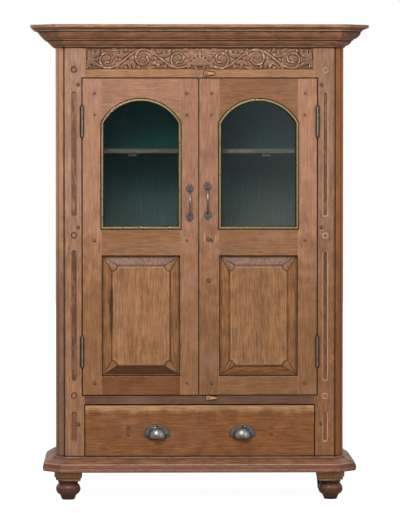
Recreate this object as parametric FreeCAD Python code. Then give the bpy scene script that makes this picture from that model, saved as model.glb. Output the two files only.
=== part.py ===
import FreeCAD, Part
import math
import os

# Glass display cabinet in old teak: two doors with arched lights over raised panels, one wide drawer,
# a carved frieze, a mitred cornice and plinth round canted corners, turned front feet.
# Millimetres, +Z up, front towards -Y. The origin is on the floor under the middle of the overall box.

V = FreeCAD.Vector
os.makedirs("parts", exist_ok=True)

# Carcass in plan
carcass_width = 966.0
carcass_depth = 380.0
corner_cant = 36.0
post_face = 61.0
post_depth = 60.0
rear_post = 45.0

# Heights of the front, from the feet up
foot_height = 97.5
drawer_opening = 177.0
divider_height = 28.0
door_opening = 1066.0
frieze_height = 102.0

# Rails, boards and panels of the carcass
frieze_depth = 30.0
divider_depth = 60.0
bottom_rail_depth = 40.0
rail_tenon_length = 30.0
rail_tenon_thickness = 12.0
rail_tenon_setback = 10.0
rail_tenon_shoulder = 4.0
carved_field_margin = 6.0
carved_field_base = 27.0
carved_field_height = 72.0
carved_field_depth = 6.0
side_thickness = 22.0
side_bottom_rail = 128.0
side_middle_rail = 80.0
side_panel_thickness = 10.0
side_panel_setback = 6.0
side_groove_depth = 10.0
back_board_thickness = 12.0
back_board_count = 6
back_board_lap = 8.0
back_rebate = 12.0
back_rail_thickness = 25.0
back_top_rail = 80.0
back_middle_rail = 40.0
bottom_board_thickness = 12.0
floor_thickness = 18.0
bearer_width = 95.0
bearer_thickness = 12.0
top_board_thickness = 16.0
top_board_count = 3

# Shelves
upper_shelf_height = 812.5
lower_shelf_height = 507.0
shelf_thickness = 14.0
shelf_front_gap = 2.0
shelf_side_gap = 2.0
cleat_width = 20.0
cleat_height = 12.0
batten_width = 29.0
batten_height = 10.0
batten_spacing = 450.0
batten_inset = 6.0

# Ornament of the front posts
quirk_inset = 11.0
quirk_width = 7.0
quirk_depth = 4.5
flute_width = 19.0
flute_depth = 5.5
short_flute_low_gap = 49.0
short_flute_high_gap = 53.0
lower_flute_low_gap = 48.0
lower_flute_high_gap = 49.0
upper_flute_low_gap = 62.0
upper_flute_high_gap = 72.0
roundel_radius = 11.5
roundel_boss_radius = 6.0
roundel_depth = 3.2
roundel_over_lock_rail = 22.0
roundel_over_frieze_base = 26.0

# Cornice members, from the bottom up: heights, then how far each stands out
cornice_foot_fillet = 5.0
lower_ovolo_height = 14.5
lower_fillet_height = 4.0
upper_ovolo_height = 22.5
upper_fillet_height = 5.5
nose_slope_height = 7.0
nose_height = 9.5
cornice_quirk_height = 3.0
cornice_foot_out = 6.0
lower_ovolo_start = 10.0
lower_ovolo_end = 27.0
lower_fillet_out = 32.0
upper_ovolo_start = 36.0
upper_ovolo_end = 58.0
upper_fillet_out = 61.0
nose_slope_start = 64.0
cornice_overhang = 83.0
cornice_quirk_depth = 4.0
ovolo_lean = 0.75

# Plinth members, from the bottom up
torus_height = 23.5
plinth_fillet_height = 4.0
plinth_slope_height = 17.0
plinth_top_fillet = 5.0
torus_base_out = 40.5
plinth_overhang = 44.5
plinth_slope_out = 38.0
plinth_slope_crown = 24.0
plinth_top_out = 6.0

# Feet
foot_inset = 41.0
foot_toe_radius = 21.0
foot_ankle_radius = 28.0
foot_ankle_height = 16.0
foot_ball_radius = 41.3
foot_ball_height = 36.5
foot_neck_radius = 32.0
foot_neck_height = 54.0
foot_ring_radius = 35.0
foot_ring_base = 56.75
foot_turned_height = 65.0
foot_step_height = 10.5
foot_step_half = 41.8
foot_cap_half = 46.3
foot_block_cant = 32.0
rear_foot_top = 62.0
rear_foot_bottom = 46.0

# Doors
door_thickness = 25.0
door_rebate_width = 9.0
door_back_gap = 1.0
door_end_gap = 2.5
hinge_gap = 2.0
meeting_gap = 2.5
meeting_offset = -3.5
hinge_stile_width = 64.0
light_from_middle = 65.0
door_bottom_rail = 62.5
panel_height = 406.0
lock_rail_height = 90.0
arch_rise = 80.0
top_rail_crown = 69.5
door_tenon_length = 40.0
door_tenon_thickness = 8.0
door_tenon_setback = 8.0
door_tenon_inset = 14.0
top_tenon_height = 46.0
panel_groove_setback = 13.0
panel_groove_width = 6.0
panel_groove_depth = 10.0
panel_tongue = 8.0
panel_margin = 6.0
panel_bevel = 27.0
panel_bevel_rise = 7.0
field_step = 5.4
field_chamfer = 7.0
notch_radius = 20.0
dart_start = 4.0
dart_swell = 3.0
dart_sink = 2.0
dart_tuck = 0.3
dart_groove = 1.8
glass_thickness = 3.0
glass_setback = 9.0
glass_rebate = 8.0
glazing_bead_depth = 9.0
brass_bead_width = 12.5
brass_bead_lap = 4.0
brass_bead_proud = 2.5
brass_bead_taper = 3.5

# Butt hinges
hinge_length = 100.0
hinge_inset = 144.5
knuckle_count = 5
knuckle_radius = 4.5
knuckle_gap = 0.4
leaf_thickness = 1.6
leaf_width = 20.0
pin_radius = 2.0
pin_tip_radius = 3.6
pin_tip_height = 3.4

# Bow pulls on the meeting stiles
pull_inset = 28.5
left_pull_rise = 86.0
right_pull_rise = 93.0
pull_length = 125.0
pull_projection = 27.0
pull_rod_radius = 3.4
pull_plate_length = 25.5
pull_plate_width = 21.0
pull_plate_thickness = 2.5
pull_bite = 5.0
pull_plate_neck = 6.3
pull_plate_bulge = 9.0
pull_plate_point = 4.6
pull_plate_point_base = 21.4

# Drawer
drawer_front_thickness = 22.0
drawer_side_gap = 1.5
drawer_bottom_gap = 1.5
drawer_top_gap = 4.0
drawer_length = 330.0
drawer_side_thickness = 12.0
drawer_bottom_thickness = 8.0
drawer_bottom_rise = 10.0
drawer_groove_depth = 6.0
drawer_back_drop = 10.0
dovetail_count = 4
dovetail_length = 13.0
dovetail_base = 18.0
dovetail_tip = 25.0
guide_width = 20.0
guide_height = 25.0
stop_width = 50.0
stop_depth = 25.0
stop_height = 8.0
stop_spacing = 500.0

# Cup pulls on the drawer
cup_spacing = 286.0
cup_plate_half = 43.0
cup_plate_height = 41.0
cup_plate_thickness = 2.0
cup_half = 31.0
cup_height = 33.0
cup_projection = 25.0
cup_wall = 2.0
cup_lip = 3.0

# Turn buttons that hold the right door
button_top_x = 22.0
button_top_rise = 13.5
button_bottom_x = 29.5
button_bottom_drop = 8.0
button_width = 16.0
button_tail = 8.5
button_shoulder = 4.5
button_tip = 28.0
button_tip_radius = 3.0
button_thickness = 7.0
button_bevel = 2.5
button_clear = 0.4
pivot_radius = 2.0
pivot_depth = 14.0
pivot_head_radius = 4.2
pivot_head_height = 2.4

# Fits
snug = 0.15
run_clear = 0.5
pin_clear = 0.06
barrel_clear = 0.3
leaf_clear = 0.1
glass_clear = 1.0

# Levels
plinth_base = foot_height
drawer_floor = plinth_base + torus_height + plinth_fillet_height + plinth_slope_height + plinth_top_fillet
divider_base = drawer_floor + drawer_opening
door_base = divider_base + divider_height
frieze_base = door_base + door_opening
cornice_base = frieze_base + frieze_height
lower_ovolo_top = cornice_base + cornice_foot_fillet + lower_ovolo_height
lower_fillet_base = lower_ovolo_top + cornice_quirk_height
upper_ovolo_top = lower_fillet_base + lower_fillet_height + upper_ovolo_height
upper_fillet_base = upper_ovolo_top + cornice_quirk_height
nose_base = upper_fillet_base + upper_fillet_height + nose_slope_height
cabinet_top = nose_base + nose_height
carcass_top = cabinet_top - top_board_thickness

# Plan lines
half = carcass_width / 2
front = cornice_overhang - (carcass_depth + cornice_overhang) / 2
back = front + carcass_depth
cant_start = half - corner_cant
opening_half = cant_start - post_face
door_half = opening_half + door_rebate_width
side_inner = half - side_thickness
rear_post_x = half - rear_post
rear_post_y = back - rear_post
back_inner = back - back_board_thickness
post_back = front + post_depth
drawer_half = opening_half - drawer_side_gap

# Door lines
door_back = front + door_thickness
door_bottom = door_base + door_end_gap
door_top = frieze_base - door_end_gap
panel_base = door_bottom + door_bottom_rail
panel_top = panel_base + panel_height
light_base = panel_top + lock_rail_height
light_crown = door_top - top_rail_crown
light_spring = light_crown - arch_rise
hinge_edge = door_half - hinge_gap
light_right = hinge_edge - hinge_stile_width
light_left = light_from_middle
light_width = light_right - light_left
light_middle = (light_left + light_right) / 2
hinge_x = door_half - hinge_gap / 2
hinge_y = front - knuckle_radius - barrel_clear
hinge_levels = (door_bottom + hinge_inset, door_top - hinge_inset)
button_spots = (
    (button_top_x, frieze_base + button_top_rise),
    (button_bottom_x, door_base - button_bottom_drop),
)

# Weight of a conic arc that stands for a quarter round, and how far it swells towards its control point
QUARTER_ROUND = math.sqrt(0.5)
CONIC_SHARE = QUARTER_ROUND / (1 + QUARTER_ROUND)


def block(x0, x1, y0, y1, z0, z1):
    """A square-edged piece between two opposite corners."""
    return Part.makeBox(x1 - x0, y1 - y0, z1 - z0, V(x0, y0, z0))


def flat_face(points):
    """A plane face inside a closed run of straight edges."""
    return Part.Face(Part.makePolygon(points + points[:1]))


def prism(plan, z0, z1):
    """A piece with one outline in plan, from z0 up to z1."""
    return flat_face([V(x, y, z0) for x, y in plan]).extrude(V(0, 0, z1 - z0))


def conic(start, control, end):
    """A quarter-round arc from start to end that leans towards its control point."""
    curve = Part.BezierCurve()
    curve.setPoles([start, control, end])
    curve.setWeight(2, QUARTER_ROUND)
    return curve.toShape()


def arc(start, middle, end):
    """A circular arc through three points."""
    return Part.Arc(start, middle, end).toShape()


def revolved(face, centre, axis, angle=360.0):
    """A piece swept about an axis, with its surface facing outwards."""
    piece = face.revolve(centre, axis, angle)
    return piece if piece.Volume > 0 else piece.reversed()


def turned(edges, x, y):
    """A piece turned about an upright axis; the edges give half of its section, in the XZ plane."""
    return revolved(Part.Face(Part.Wire(edges)), V(x, y, 0), V(0, 0, 1))


def dome_middle(radius, height):
    """A point half-way up a shallow dome: its distance from the axis and its height."""
    ball = (radius ** 2 + height ** 2) / (2 * height)
    lean = math.atan2(radius, ball - height) / 2
    return ball * math.sin(lean), height - ball + ball * math.cos(lean)


def mirrored(shape):
    """The same piece on the other side of the cabinet."""
    return shape.mirror(V(0, 0, 0), V(1, 0, 0))


def pair(shape):
    """A right-hand piece and its left-hand twin."""
    return [shape, mirrored(shape)]


def save(node, *shapes):
    """Write one node, as one solid or as a group of separate solids."""
    solids = [solid for shape in shapes for solid in shape.Solids]
    group = solids[0] if len(solids) == 1 else Part.makeCompound(solids)
    group.exportStep("parts/" + node + ".step")


# Mouldings: each length is ruled between the profile laid in its two mitre planes, which halve a turn of
# 45 degrees at each side of a cant

mitre = math.tan(math.radians(45.0 / 2))
right_front_corner = ((cant_start, front), (mitre, -1.0))
left_front_corner = ((-cant_start, front), (-mitre, -1.0))
right_side_corner = ((half, front + corner_cant), (1.0, -mitre))
right_back_end = ((half, back), (1.0, 0.0))


def moulding_end(profile, corner, spread):
    """The profile at one end of a length; four numbers in a step are a control point and an end."""

    def place(out, height):
        return V(corner[0] + spread[0] * out, corner[1] + spread[1] * out, height)

    edges = []
    here = place(*profile[0])
    for step in profile[1:] + profile[:1]:
        there = place(*step[-2:])
        if len(step) == 4:
            edges.append(conic(here, place(*step[:2]), there))
        else:
            edges.append(Part.makeLine(here, there))
        here = there
    return Part.Wire(edges)


def moulding(profile, start, end):
    """One length of moulding between two mitred or square ends."""
    return Part.makeLoft([moulding_end(profile, *start), moulding_end(profile, *end)], True, True)


def cornice_profile():
    """Fillet, quirked ovolo, fillet, quirked ovolo, fillet and a nose that slopes back underneath."""
    ovolo_base = cornice_base + cornice_foot_fillet
    upper_base = lower_fillet_base + lower_fillet_height
    slope_base = upper_fillet_base + upper_fillet_height
    lower_lean = lower_ovolo_start + ovolo_lean * (lower_ovolo_end - lower_ovolo_start)
    upper_lean = upper_ovolo_start + ovolo_lean * (upper_ovolo_end - upper_ovolo_start)
    lower_swell = ovolo_base + (1 - ovolo_lean) * lower_ovolo_height
    upper_swell = upper_base + (1 - ovolo_lean) * upper_ovolo_height
    return [
        (0.0, cornice_base),
        (cornice_foot_out, cornice_base),
        (cornice_foot_out, ovolo_base),
        (lower_ovolo_start, ovolo_base),
        (lower_lean, lower_swell, lower_ovolo_end, lower_ovolo_top),
        (lower_ovolo_end - cornice_quirk_depth, lower_ovolo_top),
        (lower_ovolo_end - cornice_quirk_depth, lower_fillet_base),
        (lower_fillet_out, lower_fillet_base),
        (lower_fillet_out, upper_base),
        (upper_ovolo_start, upper_base),
        (upper_lean, upper_swell, upper_ovolo_end, upper_ovolo_top),
        (upper_ovolo_end - cornice_quirk_depth, upper_ovolo_top),
        (upper_ovolo_end - cornice_quirk_depth, upper_fillet_base),
        (upper_fillet_out, upper_fillet_base),
        (upper_fillet_out, slope_base),
        (nose_slope_start, slope_base),
        (cornice_overhang, nose_base),
        (cornice_overhang, cabinet_top),
        (0.0, cabinet_top),
    ]


def plinth_profile():
    """A torus below a fillet, a gently swelling slope and a top fillet."""
    torus_control = torus_base_out + (plinth_overhang - torus_base_out) / CONIC_SHARE
    torus_top = plinth_base + torus_height
    slope_base = torus_top + plinth_fillet_height
    slope_top = slope_base + plinth_slope_height
    slope_middle = (slope_base + slope_top) / 2
    return [
        (0.0, plinth_base),
        (torus_base_out, plinth_base),
        (torus_control, plinth_base + torus_height / 2, torus_base_out, torus_top),
        (torus_base_out, slope_base),
        (plinth_slope_out, slope_base),
        (plinth_slope_crown, slope_middle + plinth_top_fillet / 2, plinth_top_out, slope_top),
        (plinth_top_out, drawer_floor),
        (0.0, drawer_floor),
    ]


def save_mouldings(name, profile):
    """The front length in one node, the cants and sides in another."""
    cant = moulding(profile, right_front_corner, right_side_corner)
    side = moulding(profile, right_side_corner, right_back_end)
    save(name + "_front", moulding(profile, left_front_corner, right_front_corner))
    save(name + "_returns", *pair(cant), *pair(side))


# Front posts

def front_rail(z0, z1, depth):
    """A rail between the front posts, with a tenon at each end."""
    rail = block(-opening_half, opening_half, front, front + depth, z0, z1)
    return rail.fuse(rail_tenons(z0, z1, 0.0)).removeSplitter()


def rail_tenons(z0, z1, grow):
    """The tenons of a front rail in one bar, or their mortises when grown by a fit."""
    reach = opening_half + rail_tenon_length + grow
    y0 = front + rail_tenon_setback - grow
    y1 = front + rail_tenon_setback + rail_tenon_thickness + grow
    return block(-reach, reach, y0, y1, z0 + rail_tenon_shoulder - grow, z1 - rail_tenon_shoulder + grow)


def cant_quirks():
    """Plan points along the cant, with a V quirk let in near each of its arrises."""
    length = corner_cant * math.sqrt(2)
    step = math.sqrt(0.5)
    points = []
    for middle in (quirk_inset, length - quirk_inset):
        for shift, inward in ((-quirk_width / 2, 0.0), (0.0, quirk_depth), (quirk_width / 2, 0.0)):
            along = middle + shift
            points.append((cant_start + (along - inward) * step, front + (along + inward) * step))
    return points


def flute(x, z0, z1):
    """A cutter for a sunk flute with rounded ends."""
    radius = (flute_width ** 2 / 4 + flute_depth ** 2) / (2 * flute_depth)
    y = front + flute_depth - radius
    low = z0 + flute_width / 2
    high = z1 - flute_width / 2
    slant = radius * QUARTER_ROUND
    foot = V(x, y, low - radius)
    head = V(x, y, high + radius)
    edges = [
        arc(foot, V(x + slant, y, low - slant), V(x + radius, y, low)),
        Part.makeLine(V(x + radius, y, low), V(x + radius, y, high)),
        arc(V(x + radius, y, high), V(x + slant, y, high + slant), head),
        Part.makeLine(head, foot),
    ]
    return turned(edges, x, y)


def roundel(x, z):
    """A cutter for a ring sunk round a flat boss."""
    ring_middle = (roundel_radius + roundel_boss_radius) / 2
    section = [
        V(x + roundel_boss_radius, front - roundel_depth, z),
        V(x + roundel_boss_radius, front, z),
        V(x + ring_middle, front + roundel_depth, z),
        V(x + roundel_radius, front, z),
        V(x + roundel_radius, front - roundel_depth, z),
    ]
    return revolved(flat_face(section), V(x, front, z), V(0, 1, 0))


def post_ornament():
    """Cutters for the flutes and roundels up the face of a post."""
    x = (door_half + cant_start) / 2
    low_roundel = door_base
    middle_roundel = (panel_top + light_base) / 2 + roundel_over_lock_rail
    high_roundel = frieze_base + roundel_over_frieze_base
    return [
        flute(x, drawer_floor + short_flute_low_gap, low_roundel - short_flute_high_gap),
        roundel(x, low_roundel),
        flute(x, low_roundel + lower_flute_low_gap, middle_roundel - lower_flute_high_gap),
        roundel(x, middle_roundel),
        flute(x, middle_roundel + upper_flute_low_gap, high_roundel - upper_flute_high_gap),
        roundel(x, high_roundel),
    ]


def side_groove(y0, y1, grow):
    """The line that side panels and stub tenons follow, from post to post."""
    outer = half - side_panel_setback + grow
    return block(outer - side_panel_thickness - 2 * grow, outer, y0, y1, plinth_base, carcass_top)


def front_post():
    """The right-hand front post."""
    plan = [(opening_half, front), (cant_start, front)]
    plan += cant_quirks()
    plan += [(half, front + corner_cant), (half, post_back), (opening_half, post_back)]
    rebate_back = door_back + door_back_gap
    cuts = [
        block(opening_half, door_half, front, rebate_back, door_base, frieze_base),
        side_groove(post_back - side_groove_depth - snug, post_back, snug),
        rail_tenons(plinth_base, drawer_floor, snug),
        rail_tenons(divider_base, door_base, snug),
        rail_tenons(frieze_base, carcass_top, snug),
    ]
    cuts += post_ornament()
    cuts += [leaf_recess(level, door_half, 1) for level in hinge_levels]
    return prism(plan, plinth_base, carcass_top).cut(cuts)


# Butt hinges

def leaf_x(side):
    """Where a leaf starts in X: side 1 is the leaf on the post, side -1 the leaf on the door."""
    return hinge_x + leaf_clear if side > 0 else hinge_x - leaf_clear - leaf_thickness


def leaf_recess(level, edge, side):
    """The shallow housing that lets a leaf into the wood at the given edge."""
    bottom = leaf_x(side) + leaf_thickness + snug if side > 0 else leaf_x(side) - snug
    reach = hinge_length / 2 + snug
    y1 = front + leaf_width + snug
    return block(min(edge, bottom), max(edge, bottom), front, y1, level - reach, level + reach)


def hinge_leaf(level, side):
    """A leaf with its knuckles: the post's are the first, third and fifth, the door's those between."""
    base = level - hinge_length / 2
    pitch = hinge_length / knuckle_count
    x0 = leaf_x(side)
    x1 = x0 + leaf_thickness
    knuckles = []
    for index in range(0 if side > 0 else 1, knuckle_count, 2):
        z0 = base + index * pitch + knuckle_gap / 2
        z1 = z0 + pitch - knuckle_gap
        knuckles.append(Part.makeCylinder(knuckle_radius, z1 - z0, V(hinge_x, hinge_y, z0)))
        knuckles.append(block(x0, x1, hinge_y, front, z0, z1))
    plate = block(x0, x1, front, front + leaf_width, base, base + hinge_length)
    leaf = plate.fuse(knuckles).removeSplitter()
    return leaf.cut(Part.makeCylinder(pin_radius + pin_clear, hinge_length, V(hinge_x, hinge_y, base)))


def hinge_pin(level):
    """A pin with a domed tip at each end of the barrel."""
    base = level - hinge_length / 2
    top = level + hinge_length / 2
    bulge, bulge_height = dome_middle(pin_tip_radius, pin_tip_height)

    def at(radius, height):
        return V(hinge_x + radius, hinge_y, height)

    foot = at(0, base - pin_tip_height)
    crown = at(0, top + pin_tip_height)
    edges = [
        arc(foot, at(bulge, base - bulge_height), at(pin_tip_radius, base)),
        Part.makeLine(at(pin_tip_radius, base), at(pin_radius, base)),
        Part.makeLine(at(pin_radius, base), at(pin_radius, top)),
        Part.makeLine(at(pin_radius, top), at(pin_tip_radius, top)),
        arc(at(pin_tip_radius, top), at(bulge, top + bulge_height), crown),
        Part.makeLine(crown, foot),
    ]
    return turned(edges, hinge_x, hinge_y)


# Doors, modelled on the right-hand side

def light_outline(y, grow):
    """The arched outline of the light at depth y, grown or shrunk all round."""
    half_width = light_width / 2
    radius = (half_width ** 2 + arch_rise ** 2) / (2 * arch_rise)
    centre_z = light_crown - radius
    spring = centre_z + math.sqrt((radius + grow) ** 2 - (half_width + grow) ** 2)
    left = light_left - grow
    right = light_right + grow
    base = light_base - grow
    crown = V(light_middle, y, light_crown + grow)
    return Part.Wire([
        Part.makeLine(V(left, y, base), V(right, y, base)),
        Part.makeLine(V(right, y, base), V(right, y, spring)),
        arc(V(right, y, spring), crown, V(left, y, spring)),
        Part.makeLine(V(left, y, spring), V(left, y, base)),
    ])


def light_prism(y0, y1, grow):
    """A piece with the light's outline between two depths."""
    return Part.Face(light_outline(y0, grow)).extrude(V(0, y1 - y0, 0))


def light_taper(y0, grow0, y1, grow1):
    """A piece whose outline goes from one size of the light to another."""
    return Part.makeLoft([light_outline(y0, grow0), light_outline(y1, grow1)], True, True)


def door_tenons(meeting_edge, z0, z1, grow):
    """The tenons of one door rail in one bar, or their mortises when grown by a fit."""
    reach = min(door_tenon_length, light_left - meeting_edge - door_tenon_inset) + grow
    y0 = front + door_tenon_setback - grow
    y1 = front + door_tenon_setback + door_tenon_thickness + grow
    return block(light_left - reach, light_right + reach, y0, y1, z0 - grow, z1 + grow)


def door_tenon_levels():
    """Lower and upper edge of the tenons on the bottom, lock and top rails."""
    return (
        (door_bottom + door_tenon_inset, panel_base - door_tenon_inset),
        (panel_top + door_tenon_inset, light_base - door_tenon_inset),
        (door_top - door_tenon_inset - top_tenon_height, door_top - door_tenon_inset),
    )


def raised_panel():
    """A tongued panel: flat margin, bevelled rim and chamfered field, with a dart at each corner."""
    tongue_front = front + panel_groove_setback + snug
    tongue_back = front + panel_groove_setback + panel_groove_width - snug
    foot = tongue_front - panel_bevel_rise
    x0 = light_left + run_clear
    x1 = light_right - run_clear
    z0 = panel_base + run_clear
    z1 = panel_top - run_clear
    reach = panel_tongue - run_clear
    tongue = block(x0 - reach, x1 + reach, tongue_front, tongue_back, z0 - reach, z1 + reach)
    rim_x = (x0 + panel_margin, x1 - panel_margin)
    rim_z = (z0 + panel_margin, z1 - panel_margin)
    field_x = (rim_x[0] + panel_bevel, rim_x[1] - panel_bevel)
    field_z = (rim_z[0] + panel_bevel, rim_z[1] - panel_bevel)
    face_x = (field_x[0] + field_chamfer, field_x[1] - field_chamfer)
    face_z = (field_z[0] + field_chamfer, field_z[1] - field_chamfer)
    field_foot = rectangle(foot, field_x, field_z)
    rim = Part.makeLoft([rectangle(tongue_front, rim_x, rim_z), field_foot], True, True)
    field = Part.makeLoft([field_foot, rectangle(foot - field_step, face_x, face_z)], True, True)
    darts = []
    grooves = []
    for tip_x, notch_x in zip(rim_x, field_x):
        for tip_z, notch_z in zip(rim_z, field_z):
            notch = V(notch_x, foot, notch_z)
            field = field.cut(Part.makeCylinder(notch_radius, field_step, notch, V(0, -1, 0)))
            dart, lines = corner_dart(V(tip_x, tongue_front, tip_z), notch)
            darts.append(dart)
            grooves += lines
    return tongue.fuse([rim, field] + darts).cut(grooves).removeSplitter()


def rectangle(y, xs, zs):
    """An upright rectangular outline at depth y."""
    corners = [V(xs[0], y, zs[0]), V(xs[1], y, zs[0]), V(xs[1], y, zs[1]), V(xs[0], y, zs[1])]
    return Part.makePolygon(corners + corners[:1])


def corner_dart(tip, notch):
    """The rounded dart from a corner of the rim to its notch in the field, and its two grooves."""
    along = V(notch.x - tip.x, 0, notch.z - tip.z)
    end = along.Length + notch_radius
    along.normalize()
    across = V(-along.z, 0, along.x)

    def place(reach, aside, rise):
        return tip + along * reach + across * aside - V(0, rise, 0)

    # The edges of the dart run in the slope of the bevels, and meet the field at the mouth of its notch.
    mouth = (2 * panel_bevel + notch_radius) / math.sqrt(2)
    spread = notch_radius / math.sqrt(2) / mouth
    edge_slope = panel_bevel_rise / mouth
    crest_slope = edge_slope + dart_swell / end

    def arch(reach):
        levels = (-dart_sink, edge_slope * reach - dart_tuck, crest_slope * reach)
        left = [place(reach, -spread * reach, level) for level in levels]
        right = [place(reach, spread * reach, level) for level in levels]
        crown = place(reach, 0, levels[2])
        return Part.Wire([
            Part.makeLine(right[0], left[0]),
            Part.makeLine(left[0], left[1]),
            conic(left[1], left[2], crown),
            conic(crown, right[2], right[1]),
            Part.makeLine(right[1], right[0]),
        ])

    def slit(reach, side):
        half_width = dart_groove / 2 * reach / mouth
        low = edge_slope * reach - 2 * half_width
        high = crest_slope * reach + dart_swell
        near = side * spread * reach - half_width
        far = side * spread * reach + half_width
        outline = ((near, low), (far, low), (far, high), (near, high), (near, low))
        return Part.makePolygon([place(reach, aside, rise) for aside, rise in outline])

    dart = outward_loft(arch(dart_start), arch(end))
    return dart, [outward_loft(slit(dart_start, side), slit(mouth, side)) for side in (-1, 1)]


def outward_loft(start, end):
    """A ruled solid between two outlines, with its surface facing outwards."""
    shape = Part.makeLoft([start, end], True, True)
    if shape.Volume < 0:
        shape.reverse()
    return shape


def brass_bead():
    """A brass angle round the light: a tapered bead on the face, and a lip that holds the glass."""
    sight = brass_bead_lap - brass_bead_width
    face = front - brass_bead_proud
    bead = light_taper(front, brass_bead_lap, face, brass_bead_lap - brass_bead_taper)
    bead = bead.fuse(light_prism(front, front + glass_setback, -snug)).removeSplitter()
    bead = bead.cut(light_prism(front, front + glass_setback, sight))
    return bead.cut(light_taper(front, sight, face, sight + brass_bead_taper))


def glazing_beads():
    """Wooden strips that hold the glass from behind: foot, two sides and the arch."""
    y0 = front + glass_setback + glass_thickness + 2 * snug
    y1 = y0 + glazing_bead_depth
    ring = light_prism(y0, y1, glass_rebate - snug).cut(light_prism(y0, y1, 0.0))
    outer = glass_rebate
    strips = [
        block(light_left - outer, light_right + outer, y0, y1, light_base - outer, light_base),
        block(light_left - outer, light_left, y0, y1, light_base, light_spring),
        block(light_right, light_right + outer, y0, y1, light_base, light_spring),
        block(light_left - outer, light_right + outer, y0, y1, light_spring, light_crown + outer),
    ]
    return [ring.common(strip) for strip in strips]


def bow_pull(x, z):
    """A cast pull: a round bow between two spade-shaped plates, which point up and down."""
    inner = pull_length / 2 - pull_plate_length
    seat_y = front - pull_plate_thickness
    chord = inner + pull_bite
    sagitta = pull_projection - pull_rod_radius - pull_plate_thickness
    radius = (chord ** 2 + sagitta ** 2) / (2 * sagitta)
    swing = math.asin(chord / radius)
    centre = V(x, seat_y - sagitta + radius, z)
    start = V(x, centre.y - radius * math.cos(swing), z + chord)
    way = V(0, -math.sin(swing), -math.cos(swing))
    section = Part.Face(Part.Wire(Part.makeCircle(pull_rod_radius, start, way)))
    rod = revolved(section, centre, V(1, 0, 0), math.degrees(2 * swing))
    reach = pull_length
    behind = block(x - reach, x + reach, front, front + reach, z - reach, z + reach)
    plates = [spade_plate(x, z, inner, 1), spade_plate(x, z, inner, -1)]
    return rod.cut(behind).fuse(plates).removeSplitter()


def spade_plate(x, z, inner, way):
    """The plate at one end of a bow pull: broad by the bow, narrow at its tip."""

    def place(side, out):
        return V(x + side, front, z + way * (inner + out))

    broad = pull_plate_width / 2
    necks = [place(side * pull_plate_neck, 0) for side in (-1, 1)]
    shoulders = [place(side * pull_plate_point, pull_plate_point_base) for side in (-1, 1)]
    edges = [
        Part.makeLine(necks[0], necks[1]),
        arc(necks[1], place(broad, pull_plate_bulge), shoulders[1]),
        arc(shoulders[1], place(0, pull_plate_length), shoulders[0]),
        arc(shoulders[0], place(-broad, pull_plate_bulge), necks[0]),
    ]
    return Part.Face(Part.Wire(edges)).extrude(V(0, -pull_plate_thickness, 0))


def door_pieces(meeting_edge, pull_rise):
    """All pieces of a door that is hinged on the right and closes at the given edge."""
    levels = door_tenon_levels()
    groove_y = front + panel_groove_setback
    groove = block(
        light_left - panel_groove_depth, light_right + panel_groove_depth,
        groove_y, groove_y + panel_groove_width,
        panel_base - panel_groove_depth, panel_top + panel_groove_depth,
    )
    rebate = light_prism(front + glass_setback, door_back, glass_rebate)
    mortises = [door_tenons(meeting_edge, z0, z1, snug) for z0, z1 in levels]
    stile_cuts = [groove, rebate] + mortises
    recesses = [leaf_recess(level, hinge_edge, -1) for level in hinge_levels]

    def stile(x0, x1, cuts):
        return block(x0, x1, front, door_back, door_bottom, door_top).cut(cuts)

    def rail(z0, z1, level, cuts):
        blank = block(light_left, light_right, front, door_back, z0, z1).cut(cuts)
        return blank.fuse(door_tenons(meeting_edge, level[0], level[1], 0.0).cut(cuts)).removeSplitter()

    glass_y = front + glass_setback + snug
    return {
        "hinge_stile": [stile(light_right, hinge_edge, stile_cuts + recesses)],
        "meeting_stile": [stile(meeting_edge, light_left, stile_cuts)],
        "bottom_rail": [rail(door_bottom, panel_base, levels[0], [groove])],
        "lock_rail": [rail(panel_top, light_base, levels[1], [groove, rebate])],
        "top_rail": [rail(light_spring, door_top, levels[2], [light_prism(front, door_back, 0.0), rebate])],
        "panel": [raised_panel()],
        "glass": [light_prism(glass_y, glass_y + glass_thickness, glass_rebate - glass_clear)],
        "brass_bead": [brass_bead()],
        "glazing_beads": glazing_beads(),
        "pull": [bow_pull(meeting_edge + pull_inset, light_base + pull_rise)],
        "hinge_leaves": [hinge_leaf(level, -1) for level in hinge_levels],
    }


# Turn buttons

def button_outline(y, inset):
    """A drop shape that lies along X, with its broad end round the pivot and its tip to the right."""
    side = button_width / 2 - inset
    tail = button_tail - inset
    tip = button_tip - inset
    tip_side = button_tip_radius - inset / 2
    neck = button_tip - button_tip_radius
    return Part.Wire([
        arc(V(-button_shoulder, y, side), V(-tail, y, 0), V(-button_shoulder, y, -side)),
        Part.makeLine(V(-button_shoulder, y, -side), V(neck, y, -tip_side)),
        arc(V(neck, y, -tip_side), V(tip, y, 0), V(neck, y, tip_side)),
        Part.makeLine(V(neck, y, tip_side), V(-button_shoulder, y, side)),
    ])


def turn_button(x, z):
    """A wooden turn button, bored for its screw."""
    y0 = front - button_clear
    shoulder_y = y0 - button_thickness + button_bevel
    y1 = y0 - button_thickness
    body = Part.Face(button_outline(y0, 0.0)).extrude(V(0, shoulder_y - y0, 0))
    cap = Part.makeLoft([button_outline(shoulder_y, 0.0), button_outline(y1, button_bevel)], True, True)
    bore = Part.makeCylinder(pivot_radius + pin_clear, button_thickness, V(0, y0, 0), V(0, -1, 0))
    button = body.fuse(cap).removeSplitter().cut(bore)
    return button.translated(V(x, 0, z))


def pivot_hole(x, z):
    """The hole in a rail for a button's screw."""
    return Part.makeCylinder(pivot_radius + snug, pivot_depth + snug, V(x, front, z), V(0, 1, 0))


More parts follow.
